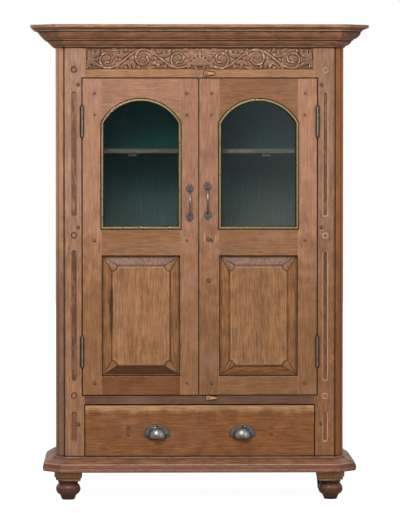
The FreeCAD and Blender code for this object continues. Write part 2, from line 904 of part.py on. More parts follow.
def button_pivot(x, z):
    """A round-headed screw: it goes through the button into the rail."""
    head_y = front - 2 * button_clear - button_thickness
    end_y = front + pivot_depth
    bulge, bulge_height = dome_middle(pivot_head_radius, pivot_head_height)

    def at(radius, y):
        return V(x + radius, y, z)

    crown = at(0, head_y - pivot_head_height)
    edges = [
        arc(crown, at(bulge, head_y - bulge_height), at(pivot_head_radius, head_y)),
        Part.makeLine(at(pivot_head_radius, head_y), at(pivot_radius, head_y)),
        Part.makeLine(at(pivot_radius, head_y), at(pivot_radius, end_y)),
        Part.makeLine(at(pivot_radius, end_y), at(0, end_y)),
        Part.makeLine(at(0, end_y), crown),
    ]
    return revolved(Part.Face(Part.Wire(edges)), V(x, front, z), V(0, 1, 0))


# Drawer

drawer_base = drawer_floor + drawer_bottom_gap
drawer_top = divider_base - drawer_top_gap
drawer_side_base = drawer_floor + run_clear
drawer_side_top = drawer_top - drawer_bottom_gap
drawer_front_back = front + drawer_front_thickness
drawer_end = front + drawer_length
drawer_side_inner = drawer_half - drawer_side_thickness
drawer_bottom_base = drawer_side_base + drawer_bottom_rise
drawer_bottom_top = drawer_bottom_base + drawer_bottom_thickness


def dovetails(grow):
    """The tails on the front end of the right-hand side, or their sockets when grown by a fit."""
    pitch = (drawer_side_top - drawer_base) / dovetail_count
    x0 = drawer_side_inner - grow
    tip_y = drawer_front_back - dovetail_length - grow
    base_half = dovetail_base / 2 + grow
    tip_half = dovetail_tip / 2 + grow
    tails = []
    for index in range(dovetail_count):
        z = drawer_base + (index + 0.5) * pitch
        corners = [
            V(x0, drawer_front_back, z - base_half),
            V(x0, tip_y, z - tip_half),
            V(x0, tip_y, z + tip_half),
            V(x0, drawer_front_back, z + base_half),
        ]
        tails.append(flat_face(corners).extrude(V(drawer_half - x0, 0, 0)))
    return tails


def drawer_bottom_panel(grow):
    """The drawer bottom, or the groove for it when grown by a fit."""
    reach = drawer_side_inner + drawer_groove_depth - snug + grow
    y0 = drawer_front_back - drawer_groove_depth + snug - grow
    return block(-reach, reach, y0, drawer_end, drawer_bottom_base - grow, drawer_bottom_top + grow)


def drawer_front():
    """The drawer front with its sockets and its groove."""
    board = block(-drawer_half, drawer_half, front, drawer_front_back, drawer_base, drawer_top)
    sockets = dovetails(snug)
    return board.cut(sockets + [mirrored(socket) for socket in sockets] + [drawer_bottom_panel(snug)])


def drawer_side():
    """The right-hand side with its tails and its groove."""
    board = block(
        drawer_side_inner, drawer_half, drawer_front_back, drawer_end, drawer_side_base, drawer_side_top,
    )
    return board.fuse(dovetails(0.0)).removeSplitter().cut(drawer_bottom_panel(snug))


def drawer_back():
    """The drawer back, which stands on the bottom between the sides."""
    return block(
        -drawer_side_inner, drawer_side_inner,
        drawer_end - drawer_side_thickness, drawer_end,
        drawer_bottom_top, drawer_side_top - drawer_back_drop,
    )


def half_oval(half_width, height, y, z):
    """The upper half of an oval, as a plane face at depth y."""
    left = V(-half_width, y, z)
    right = V(half_width, y, z)
    crown = V(0, y, z + height)
    edges = [
        conic(right, V(half_width, y, z + height), crown),
        conic(crown, V(-half_width, y, z + height), left),
        Part.makeLine(left, right),
    ]
    return Part.Face(Part.Wire(edges))


def hood(half_width, height, projection, z):
    """A quarter of an oval dome, flat behind and below."""
    dome = revolved(half_oval(half_width, height, 0.0, 0.0), V(0, 0, 0), V(1, 0, 0), 90.0)
    squeeze = FreeCAD.Matrix()
    squeeze.scale(V(1, projection / height, 1))
    return dome.transformGeometry(squeeze).translated(V(0, front, z))


def hood_lip(half_width, projection, z):
    """A half oval in plan, which carries the hood's rim down."""
    oval = half_oval(half_width, projection, 0.0, 0.0)
    flat = oval.rotated(V(0, 0, 0), V(1, 0, 0), 90)
    return flat.extrude(V(0, 0, -cup_lip)).translated(V(0, front, z))


def cup_pull(x):
    """A pressed cup pull: a half-oval flange with a hood that opens downwards."""
    z = (drawer_base + drawer_top - cup_plate_height) / 2
    inner_half = cup_half - cup_wall
    inner_height = cup_height - cup_wall
    inner_projection = cup_projection - cup_wall
    flange = half_oval(cup_plate_half, cup_plate_height, front, z).extrude(V(0, -cup_plate_thickness, 0))
    solid_cup = hood(cup_half, cup_height, cup_projection, z).fuse(hood_lip(cup_half, cup_projection, z))
    hollow = hood(inner_half, inner_height, inner_projection, z)
    hollow = hollow.fuse(hood_lip(inner_half, inner_projection, z))
    pull = flange.fuse(solid_cup).cut(hollow)
    return pull.translated(V(x, 0, 0))


# Feet

def front_foot():
    """The turned part of the right-hand front foot."""
    x = half - foot_inset
    y = front + foot_inset

    def at(radius, height):
        return V(x + radius, y, height)

    ring_middle = (foot_ring_base + foot_turned_height) / 2
    edges = [
        Part.makeLine(at(0, 0), at(foot_toe_radius, 0)),
        Part.makeLine(at(foot_toe_radius, 0), at(foot_ankle_radius, foot_ankle_height)),
        arc(at(foot_ankle_radius, foot_ankle_height), at(foot_ball_radius, foot_ball_height),
            at(foot_neck_radius, foot_neck_height)),
        Part.makeLine(at(foot_neck_radius, foot_neck_height), at(foot_neck_radius, foot_ring_base)),
        arc(at(foot_neck_radius, foot_ring_base), at(foot_ring_radius, ring_middle),
            at(foot_neck_radius, foot_turned_height)),
        Part.makeLine(at(foot_neck_radius, foot_turned_height), at(0, foot_turned_height)),
        Part.makeLine(at(0, foot_turned_height), at(0, 0)),
    ]
    return turned(edges, x, y)


def foot_block():
    """The stepped block between a turned foot and its post, canted like the post."""
    step_top = foot_turned_height + foot_step_height

    def plan(reach):
        x = half - foot_inset
        y = front + foot_inset
        return [
            (x - reach, y - reach), (x + reach - foot_block_cant, y - reach),
            (x + reach, y - reach + foot_block_cant), (x + reach, y + reach), (x - reach, y + reach),
        ]

    step = prism(plan(foot_step_half), foot_turned_height, step_top)
    return step.fuse(prism(plan(foot_cap_half), step_top, foot_height)).removeSplitter()


def rear_foot():
    """A plain block, tapered to the floor on all sides."""

    def square(side, z):
        x = half - foot_inset
        y = back - foot_inset
        reach = side / 2
        corners = [
            V(x - reach, y - reach, z), V(x + reach, y - reach, z),
            V(x + reach, y + reach, z), V(x - reach, y + reach, z),
        ]
        return Part.makePolygon(corners + corners[:1])

    return Part.makeLoft([square(rear_foot_bottom, 0.0), square(rear_foot_top, foot_height)], True, True)


# Carcass behind the front

def rear_post_piece():
    """The right-hand rear post, grooved for the side and rebated for the back boards."""
    post = block(rear_post_x, half, rear_post_y, back, plinth_base, carcass_top)
    return post.cut([
        side_groove(rear_post_y, rear_post_y + side_groove_depth + snug, snug),
        block(rear_post_x, rear_post_x + back_rebate, back_inner, back, plinth_base, carcass_top),
    ])


def side_rail(z0, z1):
    """A rail of the right-hand side, with stub tenons in the posts and grooves for the panels."""
    rail = block(side_inner, half, post_back, rear_post_y, z0, z1)
    stub = side_groove(post_back - side_groove_depth, rear_post_y + side_groove_depth, 0.0)
    stub = stub.common(block(side_inner, half, front, back, z0, z1))
    grooves = [side_panel_space(low, high, snug) for low, high in side_panel_levels()]
    return rail.fuse(stub).removeSplitter().cut(grooves)


def side_panel_levels():
    """The clear height of the lower and upper side panels."""
    middle = (panel_top + light_base) / 2
    lower = (plinth_base + side_bottom_rail, middle - side_middle_rail / 2)
    upper = (middle + side_middle_rail / 2, frieze_base)
    return lower, upper


def side_panel_space(z0, z1, grow):
    """A side panel with its edges in the grooves, or its housing when grown by a fit."""
    reach = side_groove_depth - 2 * snug + grow
    strip = side_groove(post_back - reach, rear_post_y + reach, grow)
    return strip.common(block(side_inner - grow, half, front, back, z0 - reach, z1 + reach))


def side_rails():
    """The bottom, middle and top rails of the right-hand side."""
    lower, upper = side_panel_levels()
    spans = ((plinth_base, lower[0]), (lower[1], upper[0]), (upper[1], carcass_top))
    return [side_rail(z0, z1) for z0, z1 in spans]


def back_boards():
    """Upright boards that lap over each other and sit in the rebates of the rear posts."""
    edge = rear_post_x + back_rebate - snug
    width = 2 * edge / back_board_count
    lap_y = (back_inner + back) / 2
    boards = []
    for index in range(back_board_count):
        x0 = -edge + index * width
        x1 = x0 + width
        board = block(x0, x1, back_inner, back, plinth_base, carcass_top)
        if index > 0:
            board = board.fuse(block(x0 - back_board_lap, x0, back_inner, lap_y, plinth_base, carcass_top))
        if index < back_board_count - 1:
            seat = block(x1 - back_board_lap - snug, x1, back_inner, lap_y + snug, plinth_base, carcass_top)
            seam = block(x1 - snug, x1, lap_y, back, plinth_base, carcass_top)
            board = board.cut([seat, seam])
        boards.append(board.removeSplitter())
    return boards


def back_rail(z0, z1):
    """A rail between the rear posts that the back boards are nailed to."""
    return block(-rear_post_x, rear_post_x, back_inner - back_rail_thickness, back_inner, z0, z1)


def inner_board(y0, z0, z1, reach=side_inner):
    """A board across the inside, from depth y0 to the back boards, notched round the posts."""
    board = block(-reach, reach, y0, back_inner, z0, z1)
    rear = block(rear_post_x - snug, half, rear_post_y - snug, back, z0, z1)
    near = block(opening_half - snug, half, front, post_back + snug, z0, z1)
    return board.cut(pair(rear) + pair(near))


def shelf_planks(z0):
    """A shelf of two planks, which rests on its cleats."""
    y0 = post_back + shelf_front_gap
    middle = (y0 + back_inner) / 2
    whole = inner_board(y0, z0, z0 + shelf_thickness, side_inner - shelf_side_gap)
    near = block(-half, half, front, middle, z0, z0 + shelf_thickness)
    return [whole.common(near), whole.cut(near)]


def shelf_cleat(z0):
    """The right-hand cleat of a shelf, fixed between the posts."""
    return block(side_inner - cleat_width, side_inner, post_back, rear_post_y, z0 - cleat_height, z0)


def shelf_batten(z0):
    """The right-hand batten that ties the planks of a shelf together from below."""
    x0 = (batten_spacing - batten_width) / 2
    y0 = post_back + shelf_front_gap + batten_inset
    return block(x0, x0 + batten_width, y0, back_inner - batten_inset, z0 - batten_height, z0)


def top_boards():
    """Planks along the cabinet, fitted inside the cornice and cut to its canted corners."""
    edge = half - snug
    start = front + snug
    plan = [
        (-cant_start, start), (cant_start, start), (edge, front + corner_cant), (edge, back),
        (-edge, back), (-edge, front + corner_cant),
    ]
    sheet = prism(plan, carcass_top, cabinet_top)
    width = (back - start) / top_board_count
    planks = []
    for index in range(top_board_count):
        y0 = start + index * width
        planks.append(sheet.common(block(-half, half, y0, y0 + width - snug, carcass_top, cabinet_top)))
    return planks


def drawer_guide():
    """The strip that keeps the right-hand side of the drawer in line."""
    outer = opening_half + guide_width
    return block(opening_half, outer, post_back, rear_post_y, drawer_floor, drawer_floor + guide_height)


def drawer_stop():
    """The right-hand block that the drawer front closes against."""
    x0 = (stop_spacing - stop_width) / 2
    y0 = drawer_front_back + barrel_clear
    return block(x0, x0 + stop_width, y0, y0 + stop_depth, drawer_floor, drawer_floor + stop_height)


def carved_field():
    """The sunk ground of the frieze, which the carving stands in."""
    edge = opening_half - carved_field_margin
    base = frieze_base + carved_field_base
    return block(-edge, edge, front, front + carved_field_depth, base, base + carved_field_height)


# Carcass
top_hole, bottom_hole = [pivot_hole(x, z) for x, z in button_spots]
right_post = front_post()
shelves = (door_base + lower_shelf_height, door_base + upper_shelf_height)
side_frame = side_rails()
panels = [side_panel_space(low, high, 0.0) for low, high in side_panel_levels()]
bearer = block(
    side_inner - bearer_width, side_inner, post_back, rear_post_y,
    door_base - floor_thickness - bearer_thickness, door_base - floor_thickness,
)

save("front_post_right", right_post)
save("front_post_left", mirrored(right_post))
save("rear_posts", *pair(rear_post_piece()))
save("frieze_rail", front_rail(frieze_base, carcass_top, frieze_depth).cut([carved_field(), top_hole]))
save("divider_rail", front_rail(divider_base, door_base, divider_depth).cut(bottom_hole))
save("bottom_front_rail", front_rail(plinth_base, drawer_floor, bottom_rail_depth))
save("side_rails", *side_frame, *[mirrored(rail) for rail in side_frame])
save("side_panels", *panels, *[mirrored(panel) for panel in panels])
save("back_boards", *back_boards())
save(
    "back_rails",
    back_rail(plinth_base, drawer_floor - bottom_board_thickness),
    back_rail(door_base - floor_thickness - back_middle_rail, door_base - floor_thickness),
    back_rail(carcass_top - back_top_rail, carcass_top),
)
save(
    "bottom_board",
    inner_board(front + bottom_rail_depth, drawer_floor - bottom_board_thickness, drawer_floor),
)
save("drawer_guides", *pair(drawer_guide()))
save("drawer_stops", *pair(drawer_stop()))
save("floor_bearers", *pair(bearer))
save("cabinet_floor", inner_board(front + divider_depth, door_base - floor_thickness, door_base))
save("lower_shelf", *shelf_planks(shelves[0]))
save("upper_shelf", *shelf_planks(shelves[1]))
save("shelf_cleats", *[cleat for level in shelves for cleat in pair(shelf_cleat(level))])
save("shelf_battens", *[batten for level in shelves for batten in pair(shelf_batten(level))])
save("top_boards", *top_boards())
save_mouldings("cornice", cornice_profile())
save_mouldings("plinth", plinth_profile())
save("front_feet", *pair(front_foot()))
save("front_foot_blocks", *pair(foot_block()))
save("rear_feet", *pair(rear_foot()))
save("hinge_frame_leaves", *[leaf for level in hinge_levels for leaf in pair(hinge_leaf(level, 1))])
save("hinge_pins", *[pin for level in hinge_levels for pin in pair(hinge_pin(level))])
save("turn_button_pivots", *[button_pivot(x, z) for x, z in button_spots])

# Doors
for name, shapes in door_pieces(meeting_offset + meeting_gap / 2, right_pull_rise).items():
    save("right_" + name, *shapes)
for name, shapes in door_pieces(meeting_gap / 2 - meeting_offset, left_pull_rise).items():
    save("left_" + name, *[mirrored(shape) for shape in shapes])

# Drawer
save("drawer_front", drawer_front())
save("drawer_sides", *pair(drawer_side()))
save("drawer_back", drawer_back())
save("drawer_bottom", drawer_bottom_panel(0.0))
save("cup_pulls", *pair(cup_pull(cup_spacing / 2)))

# Turn buttons
for name, (x, z) in zip(("turn_button_top", "turn_button_bottom"), button_spots):
    save(name, turn_button(x, z))
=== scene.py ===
import math
from functools import partialmethod

import bpy
import numpy as np
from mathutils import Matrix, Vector


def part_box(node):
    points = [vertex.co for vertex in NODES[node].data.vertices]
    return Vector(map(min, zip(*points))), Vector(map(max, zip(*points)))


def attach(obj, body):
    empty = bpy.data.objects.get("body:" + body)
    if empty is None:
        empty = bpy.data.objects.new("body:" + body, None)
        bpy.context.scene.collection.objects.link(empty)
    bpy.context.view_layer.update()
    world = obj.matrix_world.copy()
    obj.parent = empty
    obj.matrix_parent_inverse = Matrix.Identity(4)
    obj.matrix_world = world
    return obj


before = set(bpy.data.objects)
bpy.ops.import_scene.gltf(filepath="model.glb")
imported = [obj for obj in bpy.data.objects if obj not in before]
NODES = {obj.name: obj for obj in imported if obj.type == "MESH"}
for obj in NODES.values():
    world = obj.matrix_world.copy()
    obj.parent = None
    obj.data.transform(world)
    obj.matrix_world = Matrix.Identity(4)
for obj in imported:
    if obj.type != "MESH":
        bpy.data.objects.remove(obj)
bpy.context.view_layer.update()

# Finish, carving, fixings and stage of a glass display cabinet in old teak.
# Metres, +Z up, front towards -Y. Every piece keeps its place in its mesh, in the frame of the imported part.
bl_info = {
    "name": "Glass display cabinet",
    "version": (1, 0, 0),
    "blender": (4, 5, 0),
    "location": "View3D > Sidebar > Cabinet",
    "description": "Old teak cabinet with arched lights, a carved frieze and turned feet",
    "category": "Object",
}

MILLIMETRE = 0.001
ALONG_GRAIN = 0.05
NOWHERE = (0.0, -9.0, 0.0)
CUT = "cut_depth"

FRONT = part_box("frieze_rail")[0].y
DOOR_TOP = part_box("frieze_rail")[0].z

# The painted inside of the cabinet: half its width, its back, floor and top.
INSIDE_HALF = 0.4705
INSIDE_BACK = 0.2202
INSIDE_FLOOR = 0.335
INSIDE_TOP = 1.5785
# How far forward the paint comes on the carcass, on the shelves and on their battens.
PAINT_FRONT = -0.1188
SHELF_PAINT_FRONT = -0.0862
BATTEN_PAINT_FRONT = -0.0802
# Heights between which wood goes from its tone beside the panels to its tone beside the glass.
BLEND = (0.62, 1.05)
# Share of the tone of a slanting face that is left below those heights.
FALL = 0.8
SCUFF_REACH = 0.05


def linear(value):
    """A screen colour value from 0 to 255 as scene linear light."""
    share = value / 255
    if share <= 0.04045:
        return share / 12.92
    return ((share + 0.055) / 1.055) ** 2.4


def tone(name, description, red, green, blue):
    """A colour property whose default is given as it looks on a screen, from 0 to 255."""
    return bpy.props.FloatVectorProperty(
        name=name, description=description, subtype="COLOR", size=3, min=0.0, max=1.0,
        default=[linear(value) for value in (red, green, blue)],
    )


def length(name, description, default):
    """A length property in metres."""
    return bpy.props.FloatProperty(
        name=name, description=description, default=default, min=0.0, precision=5, unit="LENGTH",
    )


def share(name, description, default):
    """A property from 0 to 1."""
    return bpy.props.FloatProperty(
        name=name, description=description, default=default, min=0.0, max=1.0, subtype="FACTOR",
    )


def power(name, description, default):
    """A property in watts."""
    return bpy.props.FloatProperty(
        name=name, description=description, default=default, min=0.0, unit="POWER",
    )


class CabinetWood(bpy.types.PropertyGroup):
    """Colours of the woodwork."""

    door_above: tone("Doors above", "Stiles and top rails beside the glass", 171, 122, 94)
    door_below: tone("Doors below", "Stiles and bottom rails beside the panels", 146, 100, 64)
    lock_rail: tone("Lock rails", "Rails between the glass and the panels", 145, 101, 68)
    right_rail: tone("Right top rail", "Darker rail over the right glass", 138, 93, 62)
    left_rail: tone("Left bottom rail", "Redder rail under the left panel", 123, 75, 41)
    panel: tone("Panels", "Raised panels of the doors", 155, 108, 70)
    # The lower bevel tones are partly stain and partly painted shade.
    left_foot: tone("Left panel foot", "Dark stained lower bevel of the left panel", 70, 34, 18)
    right_foot: tone("Right panel foot", "Lower bevel of the right panel", 132, 86, 50)
    # The grey on the upper bevels is partly a coat on the wood and partly painted sheen.
    panel_top: tone("Panel tops", "Grey film on the upper bevels of the panels", 128, 99, 88)
    # The darker side bevels are partly polish and partly painted shade.
    panel_side: tone("Panel sides", "Darker polish on the side bevels of the panels", 156, 103, 60)
    post_above: tone("Posts above", "Corner posts beside the glass", 164, 123, 98)
    post_below: tone("Posts below", "Corner posts beside the panels and drawer", 156, 110, 77)
    # The right post is darker than the left partly in its own tone and partly by painted shade, lying on the
    # side away from the light.
    right_above: tone("Right post above", "Right corner post beside the glass", 146, 108, 82)
    right_below: tone("Right post below", "Right corner post beside the panel and drawer", 142, 95, 60)
    frieze: tone("Frieze", "Plain wood round the carved field", 162, 115, 78)
    carving: tone("Carving", "Carved scrolls of the frieze", 163, 120, 91)
    cornice: tone("Cornice", "Top edge of the moulding round the top", 160, 119, 92)
    cornice_below: tone("Cornice below", "Lower members of the moulding round the top", 144, 96, 66)
    divider: tone("Divider", "Rail between doors and drawer", 108, 76, 58)
    drawer: tone("Drawer front", "Front of the drawer", 135, 85, 47)
    drawer_edge: tone("Drawer top edge", "Paler strip along the top of the drawer", 178, 132, 90)
    patch: tone("Lock patch", "Redder wood let into the drawer front", 112, 62, 38)
    plinth: tone("Plinth", "Moulding above the feet", 130, 85, 57)
    fillet: tone("Fillets", "Rubbed fillets of the mouldings", 190, 150, 120)
    torus_above: tone("Torus above", "Orange polish on top of the round member", 112, 64, 34)
    torus_below: tone("Torus below", "Grey foot of the round member", 170, 130, 108)
    foot: tone("Feet", "Turned feet", 98, 66, 48)
    foot_block: tone("Foot blocks", "Blocks over the turned feet", 176, 121, 84)
    button: tone("Turn buttons", "Small buttons that hold the right door", 200, 148, 102)
    shelf: tone("Shelf edges", "Bare front edges of the shelves and their battens", 74, 64, 57)
    drawer_box: tone("Drawer box", "Plain sides, back and bottom of the drawer", 178, 140, 98)
    back: tone("Back", "Bare outside of the back and top boards", 142, 108, 76)
    paint: tone("Inside paint", "Dark paint inside the cabinet", 39, 108, 115)
    # This pale colour is partly real haze on the paint and partly painted reflection in the glass.
    dust: tone("Inside dust", "Dusty streaks on the inside paint", 92, 77, 70)
    bloom: tone("Bloom", "Pale bloom in the old polish", 166, 128, 114)
    shade: tone("Shade", "Dark clouds in the old polish", 104, 76, 70)
    worn: tone("Worn edges", "Bare wood on rubbed edges", 206, 166, 130)
    rubbed: tone("Rubbed polish", "Thin polish on the edges of the posts", 198, 146, 100)
    chip: tone("Chips", "Pale chips and flecks on the edges", 232, 214, 190)
    # This dark colour is soiling and also painted shade, laid in corners, folds, quirks, gaps and on downward
    # faces.
    grime: tone("Grime", "Dirt in corners and quirks", 42, 27, 20)
    residue: tone("Residue", "Old dark polish left in the flutes", 74, 50, 44)
    left_lip: tone("Left flutes", "Edges of the flutes of the left post", 122, 90, 76)
    right_lip: tone("Right flutes", "Rubbed edges of the flutes of the right post", 206, 174, 146)
    # The cant tones are partly polish and partly painted light and shade: the left cant paler, the right
    # darker.
    left_cant: tone("Left cant", "Pale cant of the left post", 194, 144, 112)
    right_cant: tone("Right cant", "Orange polish on the cant of the right post", 158, 98, 52)
    peg: tone("Pegs", "End grain of the pegs and plugs", 118, 82, 62)
    wear: share("Wear", "How far the edges are rubbed", 0.6)
    # This amount scales the soiling and the painted shade in corners and folds.
    dirt: share("Dirt", "How much grime lies in the corners", 0.75)


class CabinetMetal(bpy.types.PropertyGroup):
    """Colours of the glass and the metalwork."""

    glass: tone("Glass", "Tint of the old glass", 236, 244, 240)
    brass: tone("Brass", "Bead round the glass", 192, 172, 126)
    # The dark metal colours serve for tarnish and also for painted shade on sides and in corners.
    brass_dark: tone("Brass tarnish", "Dark places of the brass", 60, 46, 32)
    pewter: tone("Pulls", "Cast pulls", 144, 142, 140)
    pewter_dark: tone("Pulls, dark", "Dark places of the pulls", 42, 39, 37)
    iron: tone("Hinges", "Rubbed iron of the hinges", 158, 144, 128)
    iron_dark: tone("Hinges, dark", "Dark places of the hinges", 26, 21, 18)
    steel: tone("Screws", "Heads of the screws", 96, 90, 84)
    steel_dark: tone("Screws, dark", "Dark places of the screws", 30, 26, 24)


class CabinetCarving(bpy.types.PropertyGroup):
    """Sizes of the carved scrolls in the frieze."""

    grid: length("Grid", "Step of the carved surface", 0.0009)
    relief: length("Relief", "Highest part of the carving over its ground", 0.0056)
    scroll: length("Scroll radius", "Outer radius of a scroll", 0.032)
    stem: length("Stem", "Half the width of the main stem", 0.0042)
    rosette: length("Rosette", "Radius of the flower in a scroll", 0.0105)
    leaf: length("Leaf", "Length of a leaf on the stem", 0.030)


class CabinetFixings(bpy.types.PropertyGroup):
    """Sizes of the pegs, plugs and screws."""

    peg: length("Peg radius", "Pegs through the joints of the frames", 0.0016)
    plug: length("Plug radius", "Plugs in old lock and handle holes", 0.0036)
    peg_rise: length("Peg rise", "How far a peg stands out", 0.0004)
    screw: length("Screw radius", "Heads of the screws", 0.0027)
    screw_rise: length("Screw rise", "How far a screw head stands out", 0.0009)
    hinge_rise: length("Hinge screw rise", "How far a screw stands out of a hinge leaf", 0.00006)
    slot: length("Slot depth", "Depth of the slot in a screw", 0.0006)


class CabinetStage(bpy.types.PropertyGroup):
    """Lights and camera."""

    key: power("Key light", "Large soft light above the camera", 205.0)
    fill: power("Fill light", "Soft light from the right", 40.0)
    ambient: share("Ambient", "Light from all round", 0.30)
    shadow: share("Shadow", "How dark the shadow on the floor shows", 0.36)
    lens: bpy.props.FloatProperty(
        name="Lens", description="Focal length in millimetres", default=209.7, min=1.0, unit="CAMERA",
    )


# Shader helpers


class Graph:
    """Adds nodes to one tree and joins them. Each helper returns the socket that it makes."""

    def __init__(self, tree):
        self.tree = tree

    def node(self, kind, **settings):
        made = self.tree.nodes.new(kind)
        for key, value in settings.items():
            setattr(made, key, value)
        return made

    def put(self, socket, value):
        """Links a socket, or sets a plain value."""
        if isinstance(value, bpy.types.NodeSocket):
            self.tree.links.new(value, socket)
        elif socket.type == "RGBA" and len(value) == 3:
            socket.default_value = (*value, 1.0)
        else:
            socket.default_value = value

    def fill(self, made, **values):
        """Sets inputs by name, with _ for a space."""
        for key, value in values.items():
            self.put(made.inputs[key.replace("_", " ")], value)
        return made

    def in_order(self, made, *values):
        """Sets inputs in their order."""
        for socket, value in zip(made.inputs, values):
            self.put(socket, value)
        return made

    def math(self, operation, *values, clamp=False):
        made = self.node("ShaderNodeMath", operation=operation, use_clamp=clamp)
        return self.in_order(made, *values).outputs[0]

    plus = partialmethod(math, "ADD")
    minus = partialmethod(math, "SUBTRACT")
    most = partialmethod(math, "MAXIMUM")
    over = partialmethod(math, "GREATER_THAN")
    under = partialmethod(math, "LESS_THAN")
    absolute = partialmethod(math, "ABSOLUTE")

    def vector(self, operation, *values):
        made = self.in_order(self.node("ShaderNodeVectorMath", operation=operation), *values)
        return made.outputs["Value" if operation in ("DOT_PRODUCT", "DISTANCE", "LENGTH") else "Vector"]

    def mix(self, factor, first, second, blend="MIX"):
        made = self.node("ShaderNodeMix", data_type="RGBA", blend_type=blend)
        self.put(made.inputs[0], factor)
        self.put(made.inputs[6], first)
        self.put(made.inputs[7], second)
        return made.outputs[2]

    def noise(self, place, scale, detail=2.0, roughness=0.5):
        made = self.node("ShaderNodeTexNoise")
        self.fill(made, Vector=place, Scale=scale, Detail=detail, Roughness=roughness)
        return made.outputs[0]

    def spread(self, value, low, high, start=0.0, end=1.0):
        """Smooth step from start to end while the value goes from low to high."""
        made = self.node("ShaderNodeMapRange", interpolation_type="SMOOTHSTEP")
        self.fill(made, Value=value, From_Min=low, From_Max=high, To_Min=start, To_Max=end)
        return made.outputs[0]

    def fade(self, value, low, high):
        """Smooth step from 1 to 0 while the value goes from low to high."""
        return self.spread(value, low, high, 1.0, 0.0)

    def tinted(self, first, second):
        """One colour multiplied by another, or by a plain value."""
        return self.mix(1.0, first, second, "MULTIPLY")

    def times(self, *values):
        total = values[0]
        for value in values[1:]:
            total = self.math("MULTIPLY", total, value)
        return total

    def split(self, vector):
        """The three parts of a vector."""
        return self.in_order(self.node("ShaderNodeSeparateXYZ"), vector).outputs

    def outside(self, value, middle, half):
        """How far a value lies outside a span, given by its middle and half its length."""
        return self.minus(self.absolute(self.minus(value, middle)), half)

    def shaders(self, factor, first, second):
        """The first shader where the factor is 0 and the second where it is 1."""
        return self.in_order(self.node("ShaderNodeMixShader"), factor, first, second).outputs[0]


def object_place(graph):
    """Object coordinates, which are the frame's own at rest, and their three parts."""
    place = graph.node("ShaderNodeTexCoord").outputs["Object"]
    return place, graph.split(place)


def object_facing(graph):
    """The three parts of the object's own normal."""
    return graph.split(graph.node("ShaderNodeTexCoord").outputs["Normal"])


def soft_edges(graph, radius):
    """The softened normal, and how far it turns from the true one."""
    bevel = graph.node("ShaderNodeBevel", samples=6)
    graph.fill(bevel, Radius=radius)
    normal = graph.node("ShaderNodeNewGeometry").outputs["Normal"]
    agree = graph.vector("DOT_PRODUCT", bevel.outputs[0], normal)
    return bevel.outputs[0], graph.minus(1.0, agree)


def openness(graph, reach, samples=8):
    """How open a place is to the light, within a reach."""
    occlusion = graph.node("ShaderNodeAmbientOcclusion", samples=samples)
    graph.fill(occlusion, Distance=reach)
    return occlusion.outputs["AO"]


def painted_gap_shadows(graph, x, y, z, facing):
    """Painted shadow: dark lines along the gaps round the doors and the drawer, on the faces that lie in
    front.
    """
    gap_middle, dark_half, faded_half = 1.2 * MILLIMETRE, 1.7 * MILLIMETRE, 2.8 * MILLIMETRE
    dark = 0.0
    for nodes in (
        ("left_hinge_stile", "left_meeting_stile"), ("right_meeting_stile", "right_hinge_stile"),
        ("drawer_front", "drawer_front"),
    ):
        low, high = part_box(nodes[0])[0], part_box(nodes[1])[1]
        middle, half = (low + high) / 2, (high - low) / 2
        beyond = graph.most(graph.outside(x, middle.x, half.x), graph.outside(z, middle.z, half.z))
        off = graph.absolute(graph.minus(beyond, gap_middle))
        dark = graph.most(dark, graph.fade(off, dark_half, faded_half))
    meeting = graph.spread(graph.absolute(x), 0.004, 0.006, 0.4, 0.9)
    in_front = graph.under(y, FRONT + 3.0 * MILLIMETRE)
    return graph.times(dark, meeting, graph.under(facing, -0.9), in_front)


WOOD_INPUTS = {
    "Color": "Above, Below, Bloom, Shade, Worn, Grime, Paint, Dust, Film, Slant tone, Chip",
    "Float": "Bloom share, Shade share, Wear, Dirt, Figure, Rough, Painted, Paint front, Blend low, "
             "Blend high, Contrast, Upper, Under, Slant, Reach, Chips, Fall",
    "Vector": "Seed, Along, Scuff, Stain, Stain size",
}


